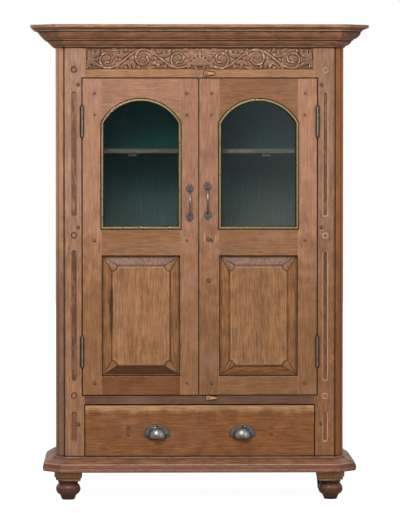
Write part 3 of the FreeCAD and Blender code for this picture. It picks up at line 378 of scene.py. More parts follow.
def wood_group():
    """The node group of old polished wood, with its worn edges, soiling, painted shade and sheen, and inside
    paint under a haze that is partly painted reflection.
    """
    tree = bpy.data.node_groups.new("old_wood", "ShaderNodeTree")
    for kind, names in WOOD_INPUTS.items():
        for name in names.split(", "):
            tree.interface.new_socket(name, in_out="INPUT", socket_type="NodeSocket" + kind)
    for name, kind in (("Color", "Color"), ("Roughness", "Float"), ("Normal", "Vector")):
        tree.interface.new_socket(name, in_out="OUTPUT", socket_type="NodeSocket" + kind)
    graph = Graph(tree)
    given = graph.node("NodeGroupInput").outputs
    place, (x, y, z) = object_place(graph)

    # Patterns: drawn out along the grain, or round.
    shifted = graph.vector("ADD", place, given["Seed"])
    drawn = graph.vector("MULTIPLY", shifted, given["Along"])
    wander = graph.node("ShaderNodeTexNoise")
    graph.fill(wander, Vector=drawn, Scale=14.0, Detail=2.0)
    sway = graph.vector("SUBTRACT", wander.outputs["Color"], (0.5, 0.5, 0.5))
    grain = graph.vector("ADD", drawn, graph.vector("MULTIPLY", sway, (0.03,) * 3))
    streak = graph.noise(grain, 420.0, 2.0, 0.6)
    vein = graph.noise(grain, 230.0, 2.0, 0.6)
    band = graph.noise(grain, 34.0, 2.0, 0.55)
    ring = graph.math("PINGPONG", graph.times(band, 9.0), 0.5)
    cloud = graph.noise(shifted, 5.5, 3.0, 0.55)
    dark_cloud = graph.noise(graph.vector("ADD", shifted, (3.1, 1.7, 5.3)), 7.0, 4.0, 0.6)
    stain = graph.noise(grain, 11.0, 3.0, 0.6)
    patch = graph.noise(graph.vector("ADD", shifted, (7.0, 2.0, 4.0)), 21.0, 3.0, 0.6)
    pores = graph.noise(grain, 760.0, 1.0, 0.5)
    marks = graph.noise(shifted, 95.0, 2.0, 0.55)

    bevel, turn = soft_edges(graph, 0.0026)
    edge = graph.spread(turn, 0.004, 0.06)
    fold = graph.spread(turn, 0.0006, 0.006)
    open_share = openness(graph, given["Reach"])
    near_share = openness(graph, 0.006, 24)

    # Body tone, grain, bloom and dark clouds.
    low, high = given["Blend low"], given["Blend high"]
    height = graph.plus(z, graph.times(graph.minus(patch, 0.5), graph.minus(high, low), 1.2))
    body = graph.mix(graph.spread(height, low, high), given["Below"], given["Above"])
    fibre = graph.plus(graph.times(streak, 0.60), graph.times(vein, 0.40))
    light = graph.times(
        graph.spread(fibre, 0.34, 0.66, 0.77, 1.23), graph.spread(patch, 0.30, 0.70, 0.90, 1.10),
    )
    light = graph.plus(1.0, graph.times(graph.minus(light, 1.0), given["Contrast"]))
    lines = graph.spread(ring, 0.30, 0.5, 1.0, 0.80)
    lines = graph.plus(1.0, graph.times(graph.minus(lines, 1.0), given["Figure"]))
    pits = graph.spread(pores, 0.60, 0.74, 1.0, 0.82)
    spots = graph.spread(marks, 0.73, 0.80, 1.0, 0.55)
    streaks = graph.spread(stain, 0.60, 0.82, 1.0, 0.90)
    level = graph.times(light, lines, pits, spots, streaks)
    wood = graph.tinted(body, level)
    bloom = graph.times(graph.spread(cloud, 0.50, 0.72), given["Bloom share"])
    wood = graph.mix(bloom, wood, given["Bloom"])
    shade = graph.times(graph.spread(dark_cloud, 0.54, 0.74), given["Shade share"])
    wood = graph.mix(shade, wood, given["Shade"])

    # Slanting faces with their own tone and painted shading, a greyish coat with painted sheen on upward
    # faces, painted shade on downward faces, and one spilt stain.
    facing_x, facing_y, upward = object_facing(graph)
    sideways = graph.absolute(facing_x)
    # Slanting faces, such as cants and side bevels, take their own tone: partly their polish, partly painted
    # shade and light from the way they face.
    slant_shading_mask = graph.times(graph.spread(sideways, 0.12, 0.22), graph.fade(sideways, 0.85, 0.95))
    fall = graph.times(level, graph.spread(height, low, high, given["Fall"], 1.0))
    slant_tone = graph.tinted(given["Slant tone"], fall)
    wood = graph.mix(graph.times(slant_shading_mask, given["Slant"]), wood, slant_tone)
    # Upward faces take a greyish coat that is partly painted sheen.
    film = graph.tinted(given["Film"], level)
    wood = graph.mix(graph.times(graph.spread(upward, 0.06, 0.22), given["Upper"]), wood, film)
    # Painted shade on faces that turn down.
    painted_underside_shade = graph.times(graph.fade(upward, -0.22, -0.06), given["Under"])
    wood = graph.mix(painted_underside_shade, wood, given["Grime"])
    away = graph.vector("DIVIDE", graph.vector("SUBTRACT", place, given["Stain"]), given["Stain size"])
    spill = graph.spread(graph.vector("LENGTH", away), 0.5, 1.0, 0.9, 0.0)
    wood = graph.mix(graph.times(spill, graph.spread(vein, 0.34, 0.58)), wood, given["Grime"])

    # Rubbed edges, chips, a scuffed place, then painted shade with some soiling in corners and folds, and
    # painted shadow in the gaps.
    rub = graph.spread(graph.noise(shifted, 46.0, 3.0, 0.6), 0.38, 0.60)
    rim = graph.times(edge, graph.spread(near_share, 0.60, 0.90))
    wood = graph.mix(graph.times(rim, rub, given["Wear"]), wood, given["Worn"])
    flake = graph.spread(graph.noise(shifted, 150.0, 3.0, 0.65), 0.59, 0.65)
    wood = graph.mix(graph.times(rim, flake, given["Chips"]), wood, given["Chip"])
    far = graph.vector("DISTANCE", place, given["Scuff"])
    near = graph.minus(1.0, graph.math("DIVIDE", far, SCUFF_REACH), clamp=True)
    scratch = graph.spread(graph.noise(grain, 130.0, 4.0, 0.7), 0.56, 0.66)
    wood = graph.mix(graph.times(graph.spread(near, 0.0, 0.6), scratch, 0.7), wood, given["Chip"])
    # Places the light reaches less, as found by occlusion, are darkened: painted shade, partly soiling.
    recess_shade_and_soiling = graph.times(graph.fade(open_share, 0.35, 0.96), given["Dirt"])
    shallow_fold_shade = graph.times(fold, graph.fade(near_share, 0.955, 0.995))
    corner_and_fold_shade = graph.most(graph.fade(near_share, 0.74, 0.985), shallow_fold_shade)
    wood = graph.mix(graph.most(recess_shade_and_soiling, graph.times(corner_and_fold_shade, given["Dirt"])), wood, given["Grime"])
    # Painted shadow along the gaps round the doors and the drawer.
    wood = graph.mix(painted_gap_shadows(graph, x, y, z, facing_y), wood, given["Grime"])

    # Paint inside the cabinet under a pale haze, partly real and partly painted reflection in the glass. The
    # haze is heavier low down and to the right; where it thins at the top, the darker paint is painted shade.
    run = graph.vector("MULTIPLY", shifted, (9.0, 9.0, 1.1))
    haze_and_painted_reflection = graph.times(
        graph.spread(graph.noise(run, 1.0, 3.0, 0.6), 0.30, 0.70, 0.55, 1.0),
        graph.spread(z, 0.86, 1.30, 0.95, 0.12), graph.spread(x, -0.36, 0.30, 0.85, 1.0),
    )
    paint = graph.mix(haze_and_painted_reflection, given["Paint"], given["Dust"])
    paint = graph.tinted(paint, graph.spread(streak, 0.3, 0.7, 0.82, 1.12))
    inside = graph.times(
        graph.under(graph.absolute(x), INSIDE_HALF), graph.over(y, given["Paint front"]),
        graph.under(y, INSIDE_BACK), graph.over(z, INSIDE_FLOOR), graph.under(z, INSIDE_TOP),
        given["Painted"],
    )

    rough = graph.plus(given["Rough"], graph.spread(cloud, 0.3, 0.7, -0.06, 0.08))
    rough = graph.plus(rough, graph.times(recess_shade_and_soiling, 0.2), clamp=True)
    relief = graph.plus(graph.times(streak, 0.6), graph.times(pits, 0.5))
    bump = graph.node("ShaderNodeBump")
    graph.fill(bump, Strength=0.4, Distance=0.0007, Height=relief, Normal=bevel)
    result = graph.node("NodeGroupOutput")
    graph.fill(result, Color=graph.mix(inside, wood, paint), Roughness=rough, Normal=bump.outputs[0])
    return tree


def fresh_material(name):
    """An empty material with its graph and its output node."""
    made = bpy.data.materials.new(name)
    made.use_nodes = True
    made.node_tree.nodes.clear()
    graph = Graph(made.node_tree)
    return made, graph, graph.node("ShaderNodeOutputMaterial")


def grain_scale(axis):
    """Coordinates are squeezed along the grain, so that the pattern is long that way."""
    return tuple(ALONG_GRAIN if letter == axis else 1.0 for letter in "XYZ")


def seed_of(name):
    """A fixed place in the pattern for each name."""
    total = sum((index + 1) * ord(letter) for index, letter in enumerate(name))
    return (total % 97 * 0.37, total % 89 * 0.41, total % 83 * 0.43)


def scaled(colour, level):
    """A colour made lighter or darker."""
    return [level * value for value in colour]


# The under setting puts painted shade on downward faces; upper puts a greyish coat with painted sheen on
# upward faces.
def wood(
    name, axis, above, below=None, wear=1.0, dirt=1.0, bloom=0.2, shade=0.1, figure=0.3, rough=0.5,
    painted=0.0, paint_front=PAINT_FRONT, scuff=NOWHERE, blend=BLEND, level=1.0, contrast=1.0, upper=0.15,
    film=None, under=0.0, slant=0.0, slant_tone=None, reach=0.018, worn=None, chips=0.3, stain=NOWHERE,
    stain_size=(1.0, 1.0, 1.0), fall=FALL,
):
    """A wood material. The tone goes from below to above between the two blend heights; level scales it."""
    look = bpy.context.scene.cabinet_wood
    made, graph, output = fresh_material(name)
    old = graph.node("ShaderNodeGroup", node_tree=bpy.data.node_groups.get("old_wood") or wood_group())
    graph.fill(
        old, Seed=seed_of(name), Along=grain_scale(axis), Above=scaled(above, level),
        Below=scaled(below or above, level), Bloom=look.bloom, Bloom_share=bloom, Shade=look.shade,
        Shade_share=shade, Worn=worn or look.worn, Wear=look.wear * wear, Grime=look.grime,
        Dirt=look.dirt * dirt, Figure=figure, Rough=rough, Paint=look.paint, Dust=look.dust,
        Painted=painted, Paint_front=paint_front, Scuff=scuff, Blend_low=blend[0], Blend_high=blend[1],
        Contrast=contrast, Upper=upper, Film=film or look.bloom, Under=under, Slant=slant,
        Slant_tone=slant_tone or look.bloom, Reach=reach, Chip=look.chip, Chips=chips, Stain=stain,
        Stain_size=stain_size, Fall=fall,
    )
    surface = graph.node("ShaderNodeBsdfPrincipled")
    graph.fill(surface, Specular_IOR_Level=0.22)
    for mine, theirs in (("Base Color", "Color"), ("Roughness", "Roughness"), ("Normal", "Normal")):
        graph.put(surface.inputs[mine], old.outputs[theirs])
    graph.put(output.inputs[0], surface.outputs[0])
    return made


def metal(name, bright, dark, rough, grain=60.0, dirt=0.8, sides=0.0, turned=(-0.985, -0.90)):
    """A metal with tarnish and painted shade in its corners, painted shade on the sides that turn from the
    front, and rubbed edges.
    """
    made, graph, output = fresh_material(name)
    place, _ = object_place(graph)
    bevel, turn = soft_edges(graph, 0.0012)
    edge = graph.spread(turn, 0.005, 0.11)
    open_share = openness(graph, 0.008)
    cloud = graph.noise(graph.vector("ADD", place, seed_of(name)), grain, 4.0, 0.6)
    fine = graph.noise(place, grain * 14, 2.0, 0.5)
    colour = graph.mix(graph.spread(cloud, 0.34, 0.68), dark, bright)
    colour = graph.mix(0.55, colour, bright)
    colour = graph.mix(graph.times(edge, 0.5), colour, bright)
    # Painted shade on the sides that turn away from the front.
    painted_side_shade = graph.spread(object_facing(graph)[1], *turned, 0.0, sides)
    tarnish_and_shade = graph.times(graph.fade(open_share, 0.3, 0.95), dirt)
    colour = graph.mix(graph.most(tarnish_and_shade, painted_side_shade), colour, dark)
    roughness = graph.plus(rough, graph.spread(cloud, 0.3, 0.7, 0.12, -0.08), clamp=True)
    bump = graph.node("ShaderNodeBump")
    graph.fill(bump, Strength=0.25, Distance=0.0003, Height=fine, Normal=bevel)
    surface = graph.node("ShaderNodeBsdfPrincipled")
    graph.fill(surface, Metallic=1.0, Base_Color=colour, Roughness=roughness, Normal=bump.outputs[0])
    graph.put(output.inputs[0], surface.outputs[0])
    return made


def old_glass(name, tint):
    """Clear glass, a little uneven, that lets lamps through."""
    made, graph, output = fresh_material(name)
    place, _ = object_place(graph)
    bump = graph.node("ShaderNodeBump")
    graph.fill(bump, Strength=0.06, Distance=0.0006, Height=graph.noise(place, 9.0, 2.0, 0.5))
    surface = graph.node("ShaderNodeBsdfPrincipled")
    graph.fill(
        surface, Base_Color=tint, Roughness=0.0, IOR=1.45, Transmission_Weight=1.0, Normal=bump.outputs[0],
    )
    clear = graph.fill(graph.node("ShaderNodeBsdfTransparent"), Color=tint)
    in_shadow = graph.node("ShaderNodeLightPath").outputs["Is Shadow Ray"]
    graph.put(output.inputs[0], graph.shaders(in_shadow, surface.outputs[0], clear.outputs[0]))
    return made


def finish(material, *nodes):
    """Gives CAD nodes a material: those told, or else the one it is named after."""
    for node in nodes or (material.name,):
        for slot in NODES[node].material_slots:
            slot.material = material


def recolour(material, colour_of):
    """Passes the base colour of a wood material through a function of its graph and that colour."""
    graph = Graph(material.node_tree)
    surface = next(n for n in material.node_tree.nodes if n.type == "BSDF_PRINCIPLED")
    base = surface.inputs["Base Color"]
    graph.put(base, colour_of(graph, base.links[0].from_socket))
    return material


# Finish of the woodwork


def fluted_wood(name, lip, left_over, **settings):
    """Wood of a front post: the edges of its flutes are rubbed, and inside they are darkened by painted shade
    and spots of old dark polish.
    """
    look = bpy.context.scene.cabinet_wood
    flute_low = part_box("right_hinge_stile")[1].x + 17.0 * MILLIMETRE
    flute_high = flute_low + 21.5 * MILLIMETRE
    outer_low, outer_high = 0.462, 0.466
    cant = settings["slant_tone"]
    low_cant = scaled(cant, settings.get("fall", FALL))

    def with_residue_and_shade(graph, colour):
        place, (x, y, z) = object_place(graph)
        aside = graph.absolute(x)
        depth = graph.minus(y, FRONT)
        sunk = graph.times(
            graph.spread(depth, 0.1 * MILLIMETRE, 0.6 * MILLIMETRE), graph.under(depth, 8.0 * MILLIMETRE),
            graph.over(aside, flute_low), graph.under(aside, flute_high),
        )
        bed = graph.spread(depth, 2.8 * MILLIMETRE, 4.0 * MILLIMETRE)
        upper = graph.spread(z, *BLEND)
        plain = graph.mix(upper, settings["below"], settings["above"])
        # The flute bed is darkened as painted shade in the recess.
        plain = graph.tinted(plain, (0.72, 0.66, 0.64))
        spots = graph.noise(graph.vector("MULTIPLY", place, (1.0, 1.0, 0.25)), 80.0, 3.0, 0.65)
        long_flute = graph.times(
            graph.spread(z, 0.36, 0.40, 0.25, 1.0), graph.spread(z, 0.92, 1.00, 1.0, 0.85),
        )
        dark = graph.times(graph.spread(spots, 0.42, 0.58), long_flute, left_over)
        inside = graph.mix(bed, lip, graph.mix(dark, plain, look.residue))
        colour = graph.mix(graph.times(sunk, graph.spread(spots, 0.35, 0.55, 0.55, 0.85)), colour, inside)
        turned = graph.under(object_facing(graph)[1], -0.2)
        outer = graph.times(graph.spread(aside, outer_low, outer_high), turned, 0.55)
        return graph.mix(outer, colour, graph.mix(upper, low_cant, cant))

    return recolour(wood(name, "Z", **settings), with_residue_and_shade)


def moulded_wood(name, axis, members, **settings):
    """Wood of a moulding. Its members, each from one height to another, are rubbed paler, or darkened by
    painted shade in the quirks.
    """
    soft = 0.4 * MILLIMETRE

    def with_members(graph, colour):
        place, (x, y, z) = object_place(graph)
        uneven = graph.noise(graph.vector("ADD", place, seed_of(name)), 38.0, 3.0, 0.6)
        before_back = graph.under(y, INSIDE_BACK)
        for low, high, member, most in members:
            within = graph.times(
                graph.spread(z, low - soft, low + soft),
                graph.fade(z, high - soft, high + soft),
                graph.spread(uneven, 0.32, 0.58, 0.45 * most, most), before_back,
            )
            colour = graph.mix(within, colour, member)
        # Painted shade on the right end, which faces away from the light.
        shaded_right_end = graph.spread(x, 0.49, 0.51, 0.0, 0.3)
        return graph.mix(shaded_right_end, colour, bpy.context.scene.cabinet_wood.grime)

    return recolour(wood(name, axis, **settings), with_members)


def panel_wood(name, foot, **settings):
    """Wood of a raised panel: painted shade with some soiling in the folds of its field and darts, a rubbed
    field, and a foot darkened partly by stain and partly by painted shade.
    """
    look = bpy.context.scene.cabinet_wood
    low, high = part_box(name)
    middle = (low + high) / 2
    rim, bevel, notch = 13.5 * MILLIMETRE, 27.0 * MILLIMETRE, 20.0 * MILLIMETRE
    half = (high - low) / 2 - Vector((1.0, 1.0, 1.0)) * (rim + bevel)
    mouth = (2.0 * bevel + notch) / math.sqrt(2.0)
    taper = notch / math.sqrt(2.0) / mouth
    diagonal = math.sqrt(0.5)

    def with_shaded_folds(graph, colour):
        place, (x, y, z) = object_place(graph)
        aside = graph.outside(x, middle.x, half.x)
        beyond = graph.outside(z, middle.z, half.z)
        outside = graph.most(aside, beyond)
        square = graph.plus(graph.math("POWER", aside, 2.0), graph.math("POWER", beyond, 2.0))
        field = graph.most(outside, graph.minus(notch, graph.math("SQRT", square)))
        run = graph.times(graph.minus(2.0 * bevel, graph.plus(aside, beyond)), diagonal)
        apart = graph.times(graph.absolute(graph.minus(aside, beyond)), diagonal)
        wedge = graph.minus(apart, graph.times(run, taper))
        on_front = graph.under(y, FRONT + 14.0 * MILLIMETRE)

        def line(distance, centre, strength):
            """A soft line where a distance is so many millimetres."""
            off = graph.absolute(graph.minus(distance, centre * MILLIMETRE))
            return graph.spread(off, 0.9 * MILLIMETRE, 2.1 * MILLIMETRE, strength, 0.0)

        # The lower bevel is darkened, partly as stain and partly as painted shade on a face that turns down.
        stained_and_shaded = graph.times(
            graph.under(z, middle.z), graph.spread(beyond, -0.001, 0.0005), on_front,
            graph.over(beyond, aside), graph.over(wedge, 0.0), graph.under(beyond, bevel), 0.85,
        )
        grain = graph.noise(graph.vector("MULTIPLY", place, (0.06, 1.0, 1.0)), 320.0, 2.0, 0.6)
        stain = graph.tinted(foot, graph.spread(grain, 0.35, 0.65, 0.6, 1.5))
        colour = graph.mix(stained_and_shaded, colour, stain)
        uneven = graph.spread(graph.noise(place, 60.0, 3.0, 0.6), 0.36, 0.58, 0.45, 1.0)
        colour = graph.mix(graph.times(line(field, -7.0, 0.28), on_front, uneven), colour, look.worn)
        # Painted shade along the foot of the field, the darts and the foot of the bevel.
        dart = graph.times(line(wedge, 0.0, 0.85), graph.over(run, 0.003), graph.under(run, mouth))
        dark = graph.most(graph.most(line(field, 0.5, 0.8), dart), line(outside, 27.0, 0.4))
        return graph.mix(graph.times(dark, on_front, uneven), colour, look.grime)

    return recolour(wood(name, "Z", **settings), with_shaded_folds)


def drawer_wood(name, **settings):
    """Wood of the drawer front, with a patch let in where a lock was."""
    look = bpy.context.scene.cabinet_wood
    middle_x, half_x = 0.024, 0.0288
    middle_z, half_z = 0.278, 0.0206

    def with_patch(graph, colour):
        _, (x, _, z) = object_place(graph)
        across = graph.math("DIVIDE", graph.absolute(graph.minus(x, middle_x)), half_x)
        along = graph.math("DIVIDE", graph.absolute(graph.minus(z, middle_z)), half_z)
        reach = graph.most(across, along)
        colour = graph.mix(graph.spread(reach, 0.96, 1.0, 0.22, 0.0), colour, look.patch)
        line = graph.times(graph.spread(reach, 0.90, 0.96), graph.fade(reach, 0.98, 1.04), 0.35)
        return graph.mix(line, colour, look.grime)

    return recolour(wood(name, "X", **settings), with_patch)


class CABINET_OT_carcass(bpy.types.Operator):
    """Wood of the posts, rails, boards, mouldings and feet"""

    bl_idname = "cabinet.carcass"
    bl_label = "Carcass wood"

    def execute(self, context):
        look = context.scene.cabinet_wood
        self.posts_and_rails(look)
        self.mouldings_and_feet(look)
        self.boards_and_shelves(look)
        return {"FINISHED"}

    def posts_and_rails(self, look):
        posts = {
            "painted": 1.0, "wear": 1.5, "contrast": 1.2, "worn": look.rubbed, "reach": 0.012, "chips": 0.6,
            "dirt": 1.4,
        }
        left = {"above": look.post_above, "below": look.post_below, **posts}
        right = {"above": look.right_above, "below": look.right_below, **posts}
        finish(fluted_wood(
            "front_post_left", look.left_lip, 0.9, bloom=0.3, slant=0.8, slant_tone=look.left_cant,
            fall=0.5, **left,
        ))
        finish(fluted_wood(
            "front_post_right", look.right_lip, 0.85, bloom=0.1, slant=0.8, slant_tone=look.right_cant,
            **right,
        ))
        finish(wood("rear_posts", "Z", level=0.9, **left))
        finish(wood("side_panels", "Z", **left))
        finish(wood("side_rails", "Y", **left))
        finish(wood("frieze_rail", "X", look.frieze, painted=1.0, wear=1.3))
        finish(wood("divider_rail", "X", look.divider, painted=1.0, shade=0.3))
        finish(wood("bottom_front_rail", "X", look.divider))

    def mouldings_and_feet(self, look):
        moulding = {"wear": 1.5, "rough": 0.42, "contrast": 1.8, "reach": 0.009}
        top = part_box("cornice_front")[1].z
        # Rubbed fillets, and dark bands of painted shade in the quirks below them.
        cornice = [
            (top - 0.0740, top - 0.0690, look.fillet, 0.4), (top - 0.0515, top - 0.0475, look.fillet, 0.6),
            (top - 0.0220, top - 0.0165, look.fillet, 0.8), (top - 0.0250, top - 0.0220, look.grime, 0.5),
            (top - 0.0545, top - 0.0515, look.grime, 0.5), (top - 0.0310, top - 0.0262, look.grime, 0.22),
        ]
        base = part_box("plinth_front")[0].z
        plinth = [
            (base + 0.003, base + 0.0130, look.torus_below, 0.6),
            (base + 0.0130, base + 0.0245, look.torus_above, 0.85),
            (base + 0.0245, base + 0.0280, look.fillet, 0.9),
            # A dark band of painted shade in a quirk.
            (base + 0.0410, base + 0.0445, look.grime, 0.4),
            (base + 0.0445, base + 0.0495, look.fillet, 0.45),
        ]
        for length_of, axis in (("front", "X"), ("returns", "Y")):
            finish(moulded_wood(
                f"cornice_{length_of}", axis, cornice, above=look.cornice, below=look.cornice_below,
                blend=(1.580, 1.588), chips=0.6, **moulding,
            ))
            finish(moulded_wood(
                f"plinth_{length_of}", axis, plinth, above=look.plinth, chips=1.0, **moulding,
            ))
        for node, colour in (
            ("front_feet", look.foot), ("front_foot_blocks", look.foot_block), ("rear_feet", look.foot),
        ):
            finish(wood(node, "Z", colour, bloom=0.1, wear=0.6, figure=0.4, rough=0.22))

    def boards_and_shelves(self, look):
        for node, axis in (("back_boards", "Z"), ("back_rails", "X"), ("top_boards", "X")):
            finish(wood(node, axis, look.back, painted=1.0, wear=0.4, rough=0.7))
        for node, axis in (
            ("cabinet_floor", "X"), ("shelf_cleats", "Y"), ("floor_bearers", "Y"), ("bottom_board", "X"),
            ("drawer_guides", "Y"), ("drawer_stops", "X"),
        ):
            finish(wood(node, axis, look.back, painted=1.0, wear=0.3, rough=0.65))
        for node, axis, front in (
            ("lower_shelf", "X", SHELF_PAINT_FRONT), ("upper_shelf", "X", SHELF_PAINT_FRONT),
            ("shelf_battens", "Y", BATTEN_PAINT_FRONT),
        ):
            finish(wood(node, axis, look.shelf, painted=1.0, paint_front=front, wear=0.3, rough=0.6))


class CABINET_OT_doors(bpy.types.Operator):
    """Wood of the two doors"""

    bl_idname = "cabinet.doors"
    bl_label = "Door wood"

    def execute(self, context):
        look = context.scene.cabinet_wood
        by_the_lock = (0.027, FRONT, 0.891)
        for node, high, low, chips, scuff in (
            ("left_hinge_stile", 1.0, 1.0, 0.4, NOWHERE), ("left_meeting_stile", 0.88, 1.05, 0.9, NOWHERE),
            ("right_hinge_stile", 1.0, 0.92, 0.3, NOWHERE),
            ("right_meeting_stile", 0.87, 0.89, 0.3, by_the_lock),
        ):
            above, below = scaled(look.door_above, high), scaled(look.door_below, low)
            finish(wood(node, "Z", above, below, scuff=scuff, chips=chips, bloom=0.35, shade=0.35))
        smear = {"stain": (-0.297, FRONT, 0.640), "stain_size": (0.010, 0.05, 0.110)}
        for side, top, base, field, foot, marks in (
            ("left", scaled(look.door_above, 0.9), look.left_rail, 1.0, look.left_foot, smear),
            ("right", look.right_rail, scaled(look.door_below, 0.9), 0.90, look.right_foot, {}),
        ):
            finish(wood(f"{side}_top_rail", "X", top, shade=0.3))
            finish(wood(f"{side}_lock_rail", "X", look.lock_rail, bloom=0.35, shade=0.3))
            finish(wood(f"{side}_bottom_rail", "X", base, bloom=0.1))
            finish(panel_wood(
                f"{side}_panel", foot, above=look.panel, bloom=0.15, level=field, contrast=1.5, upper=0.75,
                film=look.panel_top, under=0.15, slant=0.7, slant_tone=look.panel_side, reach=0.010,
                dirt=1.3, wear=1.6, **marks,
            ))
            finish(wood(f"{side}_glazing_beads", "Z", look.door_below, wear=0.4))
        return {"FINISHED"}


class CABINET_OT_drawer(bpy.types.Operator):
    """Wood of the drawer"""

    bl_idname = "cabinet.drawer"
    bl_label = "Drawer wood"

    def execute(self, context):
        look = context.scene.cabinet_wood
        finish(drawer_wood(
            "drawer_front", above=look.drawer_edge, below=look.drawer, blend=(0.290, 0.313), bloom=0.1,
            shade=0.2, contrast=1.4,
        ))
        for node, axis in (("drawer_sides", "Y"), ("drawer_back", "X"), ("drawer_bottom", "X")):
            finish(wood(node, axis, look.drawer_box, bloom=0.1, shade=0.2, wear=0.4, rough=0.7))
        return {"FINISHED"}


class CABINET_OT_buttons(bpy.types.Operator):
    """Wood of the two turn buttons"""

    bl_idname = "cabinet.buttons"
    bl_label = "Turn button wood"

    def execute(self, context):
        look = context.scene.cabinet_wood
        for node in ("turn_button_top", "turn_button_bottom"):
            finish(wood(node, "X", look.button, bloom=0.1, dirt=0.7))
        return {"FINISHED"}


class CABINET_OT_glazing(bpy.types.Operator):
    """Glass of the doors and the brass bead round it"""

    bl_idname = "cabinet.glazing"
    bl_label = "Glass and brass"

    def execute(self, context):
        look = context.scene.cabinet_metal
        glass = old_glass("old_glass", look.glass)
        brass = metal("old_brass", look.brass, look.brass_dark, 0.3, grain=40.0, dirt=0.9, sides=1.0)
        finish(glass, "left_glass", "right_glass")
        finish(brass, "left_brass_bead", "right_brass_bead")
        return {"FINISHED"}


class CABINET_OT_hardware(bpy.types.Operator):
    """Metal of the pulls and hinges"""

    bl_idname = "cabinet.hardware"
    bl_label = "Pulls and hinges"

    def execute(self, context):
        look = context.scene.cabinet_metal
        pewter = metal("pewter", look.pewter, look.pewter_dark, 0.28)
        iron = metal(
            "old_iron", look.iron, look.iron_dark, 0.4, dirt=0.7, sides=0.95, turned=(-0.95, -0.60),
        )
        finish(pewter, "left_pull", "right_pull", "cup_pulls")
        finish(
            iron, "hinge_frame_leaves", "hinge_pins", "left_hinge_leaves", "right_hinge_leaves",
            "turn_button_pivots",
        )
        return {"FINISHED"}


# Carved frieze


class Relief:
    """Heights in millimetres over one half of the carved field; x is from its middle, z from its base."""

    def __init__(self, width, height, step):
        self.x = np.linspace(0.0, width, max(2, round(width / step)))
        self.z = np.linspace(0.0, height, max(2, round(height / step)))
        self.rise = np.zeros((len(self.z), len(self.x)))

    def window(self, low, high):
        """The part of the grid between two corners, and its x and z."""
        columns = slice(*np.searchsorted(self.x, (low[0], high[0])))
        rows = slice(*np.searchsorted(self.z, (low[1], high[1])))
        x, z = np.meshgrid(self.x[columns], self.z[rows])
        return (rows, columns), x, z

    def raise_to(self, part, height):
        self.rise[part] = np.maximum(self.rise[part], height)

    def stroke(self, points, widths, heights, groove=0.0):
        """A rounded ridge along points. Half widths and heights are for all points or for each."""
        points = np.asarray(points, float)
        most = float(np.max(widths))
        part, x, z = self.window(points.min(0) - most, points.max(0) + most)
        if x.size == 0:
            return
        away = (x[..., None] - points[:, 0]) ** 2 + (z[..., None] - points[:, 1]) ** 2
        nearest = np.argmin(away, axis=-1)
        reach = np.sqrt(np.min(away, axis=-1))
        width = np.maximum(np.broadcast_to(widths, len(points))[nearest], 0.05)
        across = np.clip(reach / width, 0.0, 1.0)
        height = np.broadcast_to(heights, len(points))[nearest] * (1.0 - across ** 2.4) ** 0.6
        height -= groove * np.exp(-((reach / (0.22 * most)) ** 2)) * (across < 1.0)
        self.raise_to(part, np.where(across < 1.0, height, 0.0))

    def leaf(self, base, way, size, width, bend, height):
        """A pointed leaf with lobed sides and a cut spine, from base, bent to one side."""
        share_along = np.linspace(0.0, 1.0, 70)
        turn = way + bend * share_along
        step = size / len(share_along)
        way_x, way_z = np.cos(turn), np.sin(turn)
        points = np.stack([base[0] + np.cumsum(way_x) * step, base[1] + np.cumsum(way_z) * step], 1)
        swell = np.sin(np.pi * share_along ** 0.75) ** 0.8
        lobes = 0.78 + 0.22 * np.abs(np.sin(3.0 * np.pi * share_along))
        widths = width * (swell * lobes + 0.06)
        self.stroke(points, widths, height * (0.55 + 0.45 * swell), groove=0.45 * height)

    def rosette(self, centre, radius, height, petals):
        """A flower of rounded petals round a boss."""
        part, x, z = self.window(centre - radius, centre + radius)
        dx = x - centre[0]
        dz = z - centre[1]
        reach = np.hypot(dx, dz)
        angle = np.arctan2(dz, dx)
        wave = np.abs(np.cos(angle * petals / 2))
        rim = radius * (0.74 + 0.26 * wave)
        across = np.clip(reach / rim, 0.0, 1.0)
        petal = height * (0.45 + 0.4 * wave) * (1.0 - across ** 3) ** 0.5 * (0.7 + 0.3 * across)
        petal = np.where(across < 1.0, petal, 0.0)
        boss = 0.3 * radius
        dome = height * np.sqrt(np.clip(1.0 - (reach / boss) ** 2, 0.0, 1.0))
        petal *= 1.0 - 0.75 * np.exp(-(((reach - 1.12 * boss) / (0.25 * boss)) ** 2))
        self.raise_to(part, np.maximum(petal, dome))

    def berry(self, centre, radius, height):
        part, x, z = self.window(np.asarray(centre) - radius, np.asarray(centre) + radius)
        reach = np.hypot(x - centre[0], z - centre[1]) / radius
        self.raise_to(part, height * np.sqrt(np.clip(1.0 - reach ** 2, 0.0, 1.0)))

    def trefoil(self, centre, way, size, height):
        """Three small leaves from one foot."""
        foot = np.asarray(centre) - 0.42 * size * np.array([np.cos(way), np.sin(way)])
        for turn, reach in ((-0.8, 0.62), (0.0, 0.85), (0.8, 0.62)):
            self.leaf(foot, way + turn, reach * size, 0.19 * size, 0.45 * turn, height)

    def is_free(self, centre, radius):
        """True where nothing is carved yet within a radius."""
        part, x, z = self.window(np.asarray(centre) - radius, np.asarray(centre) + radius)
        near = np.hypot(x - centre[0], z - centre[1]) < radius
        return near.any() and self.rise[part][near].max() < 0.05


def spiral(centre, start, end, outer, inner, count=150):
    """Points of a scroll that winds in from the angle start to the angle end."""
    angle = np.linspace(start, end, count)
    radius = outer * (inner / outer) ** np.linspace(0.0, 1.0, count)
    return np.stack([centre[0] + radius * np.cos(angle), centre[1] + radius * np.sin(angle)], 1)


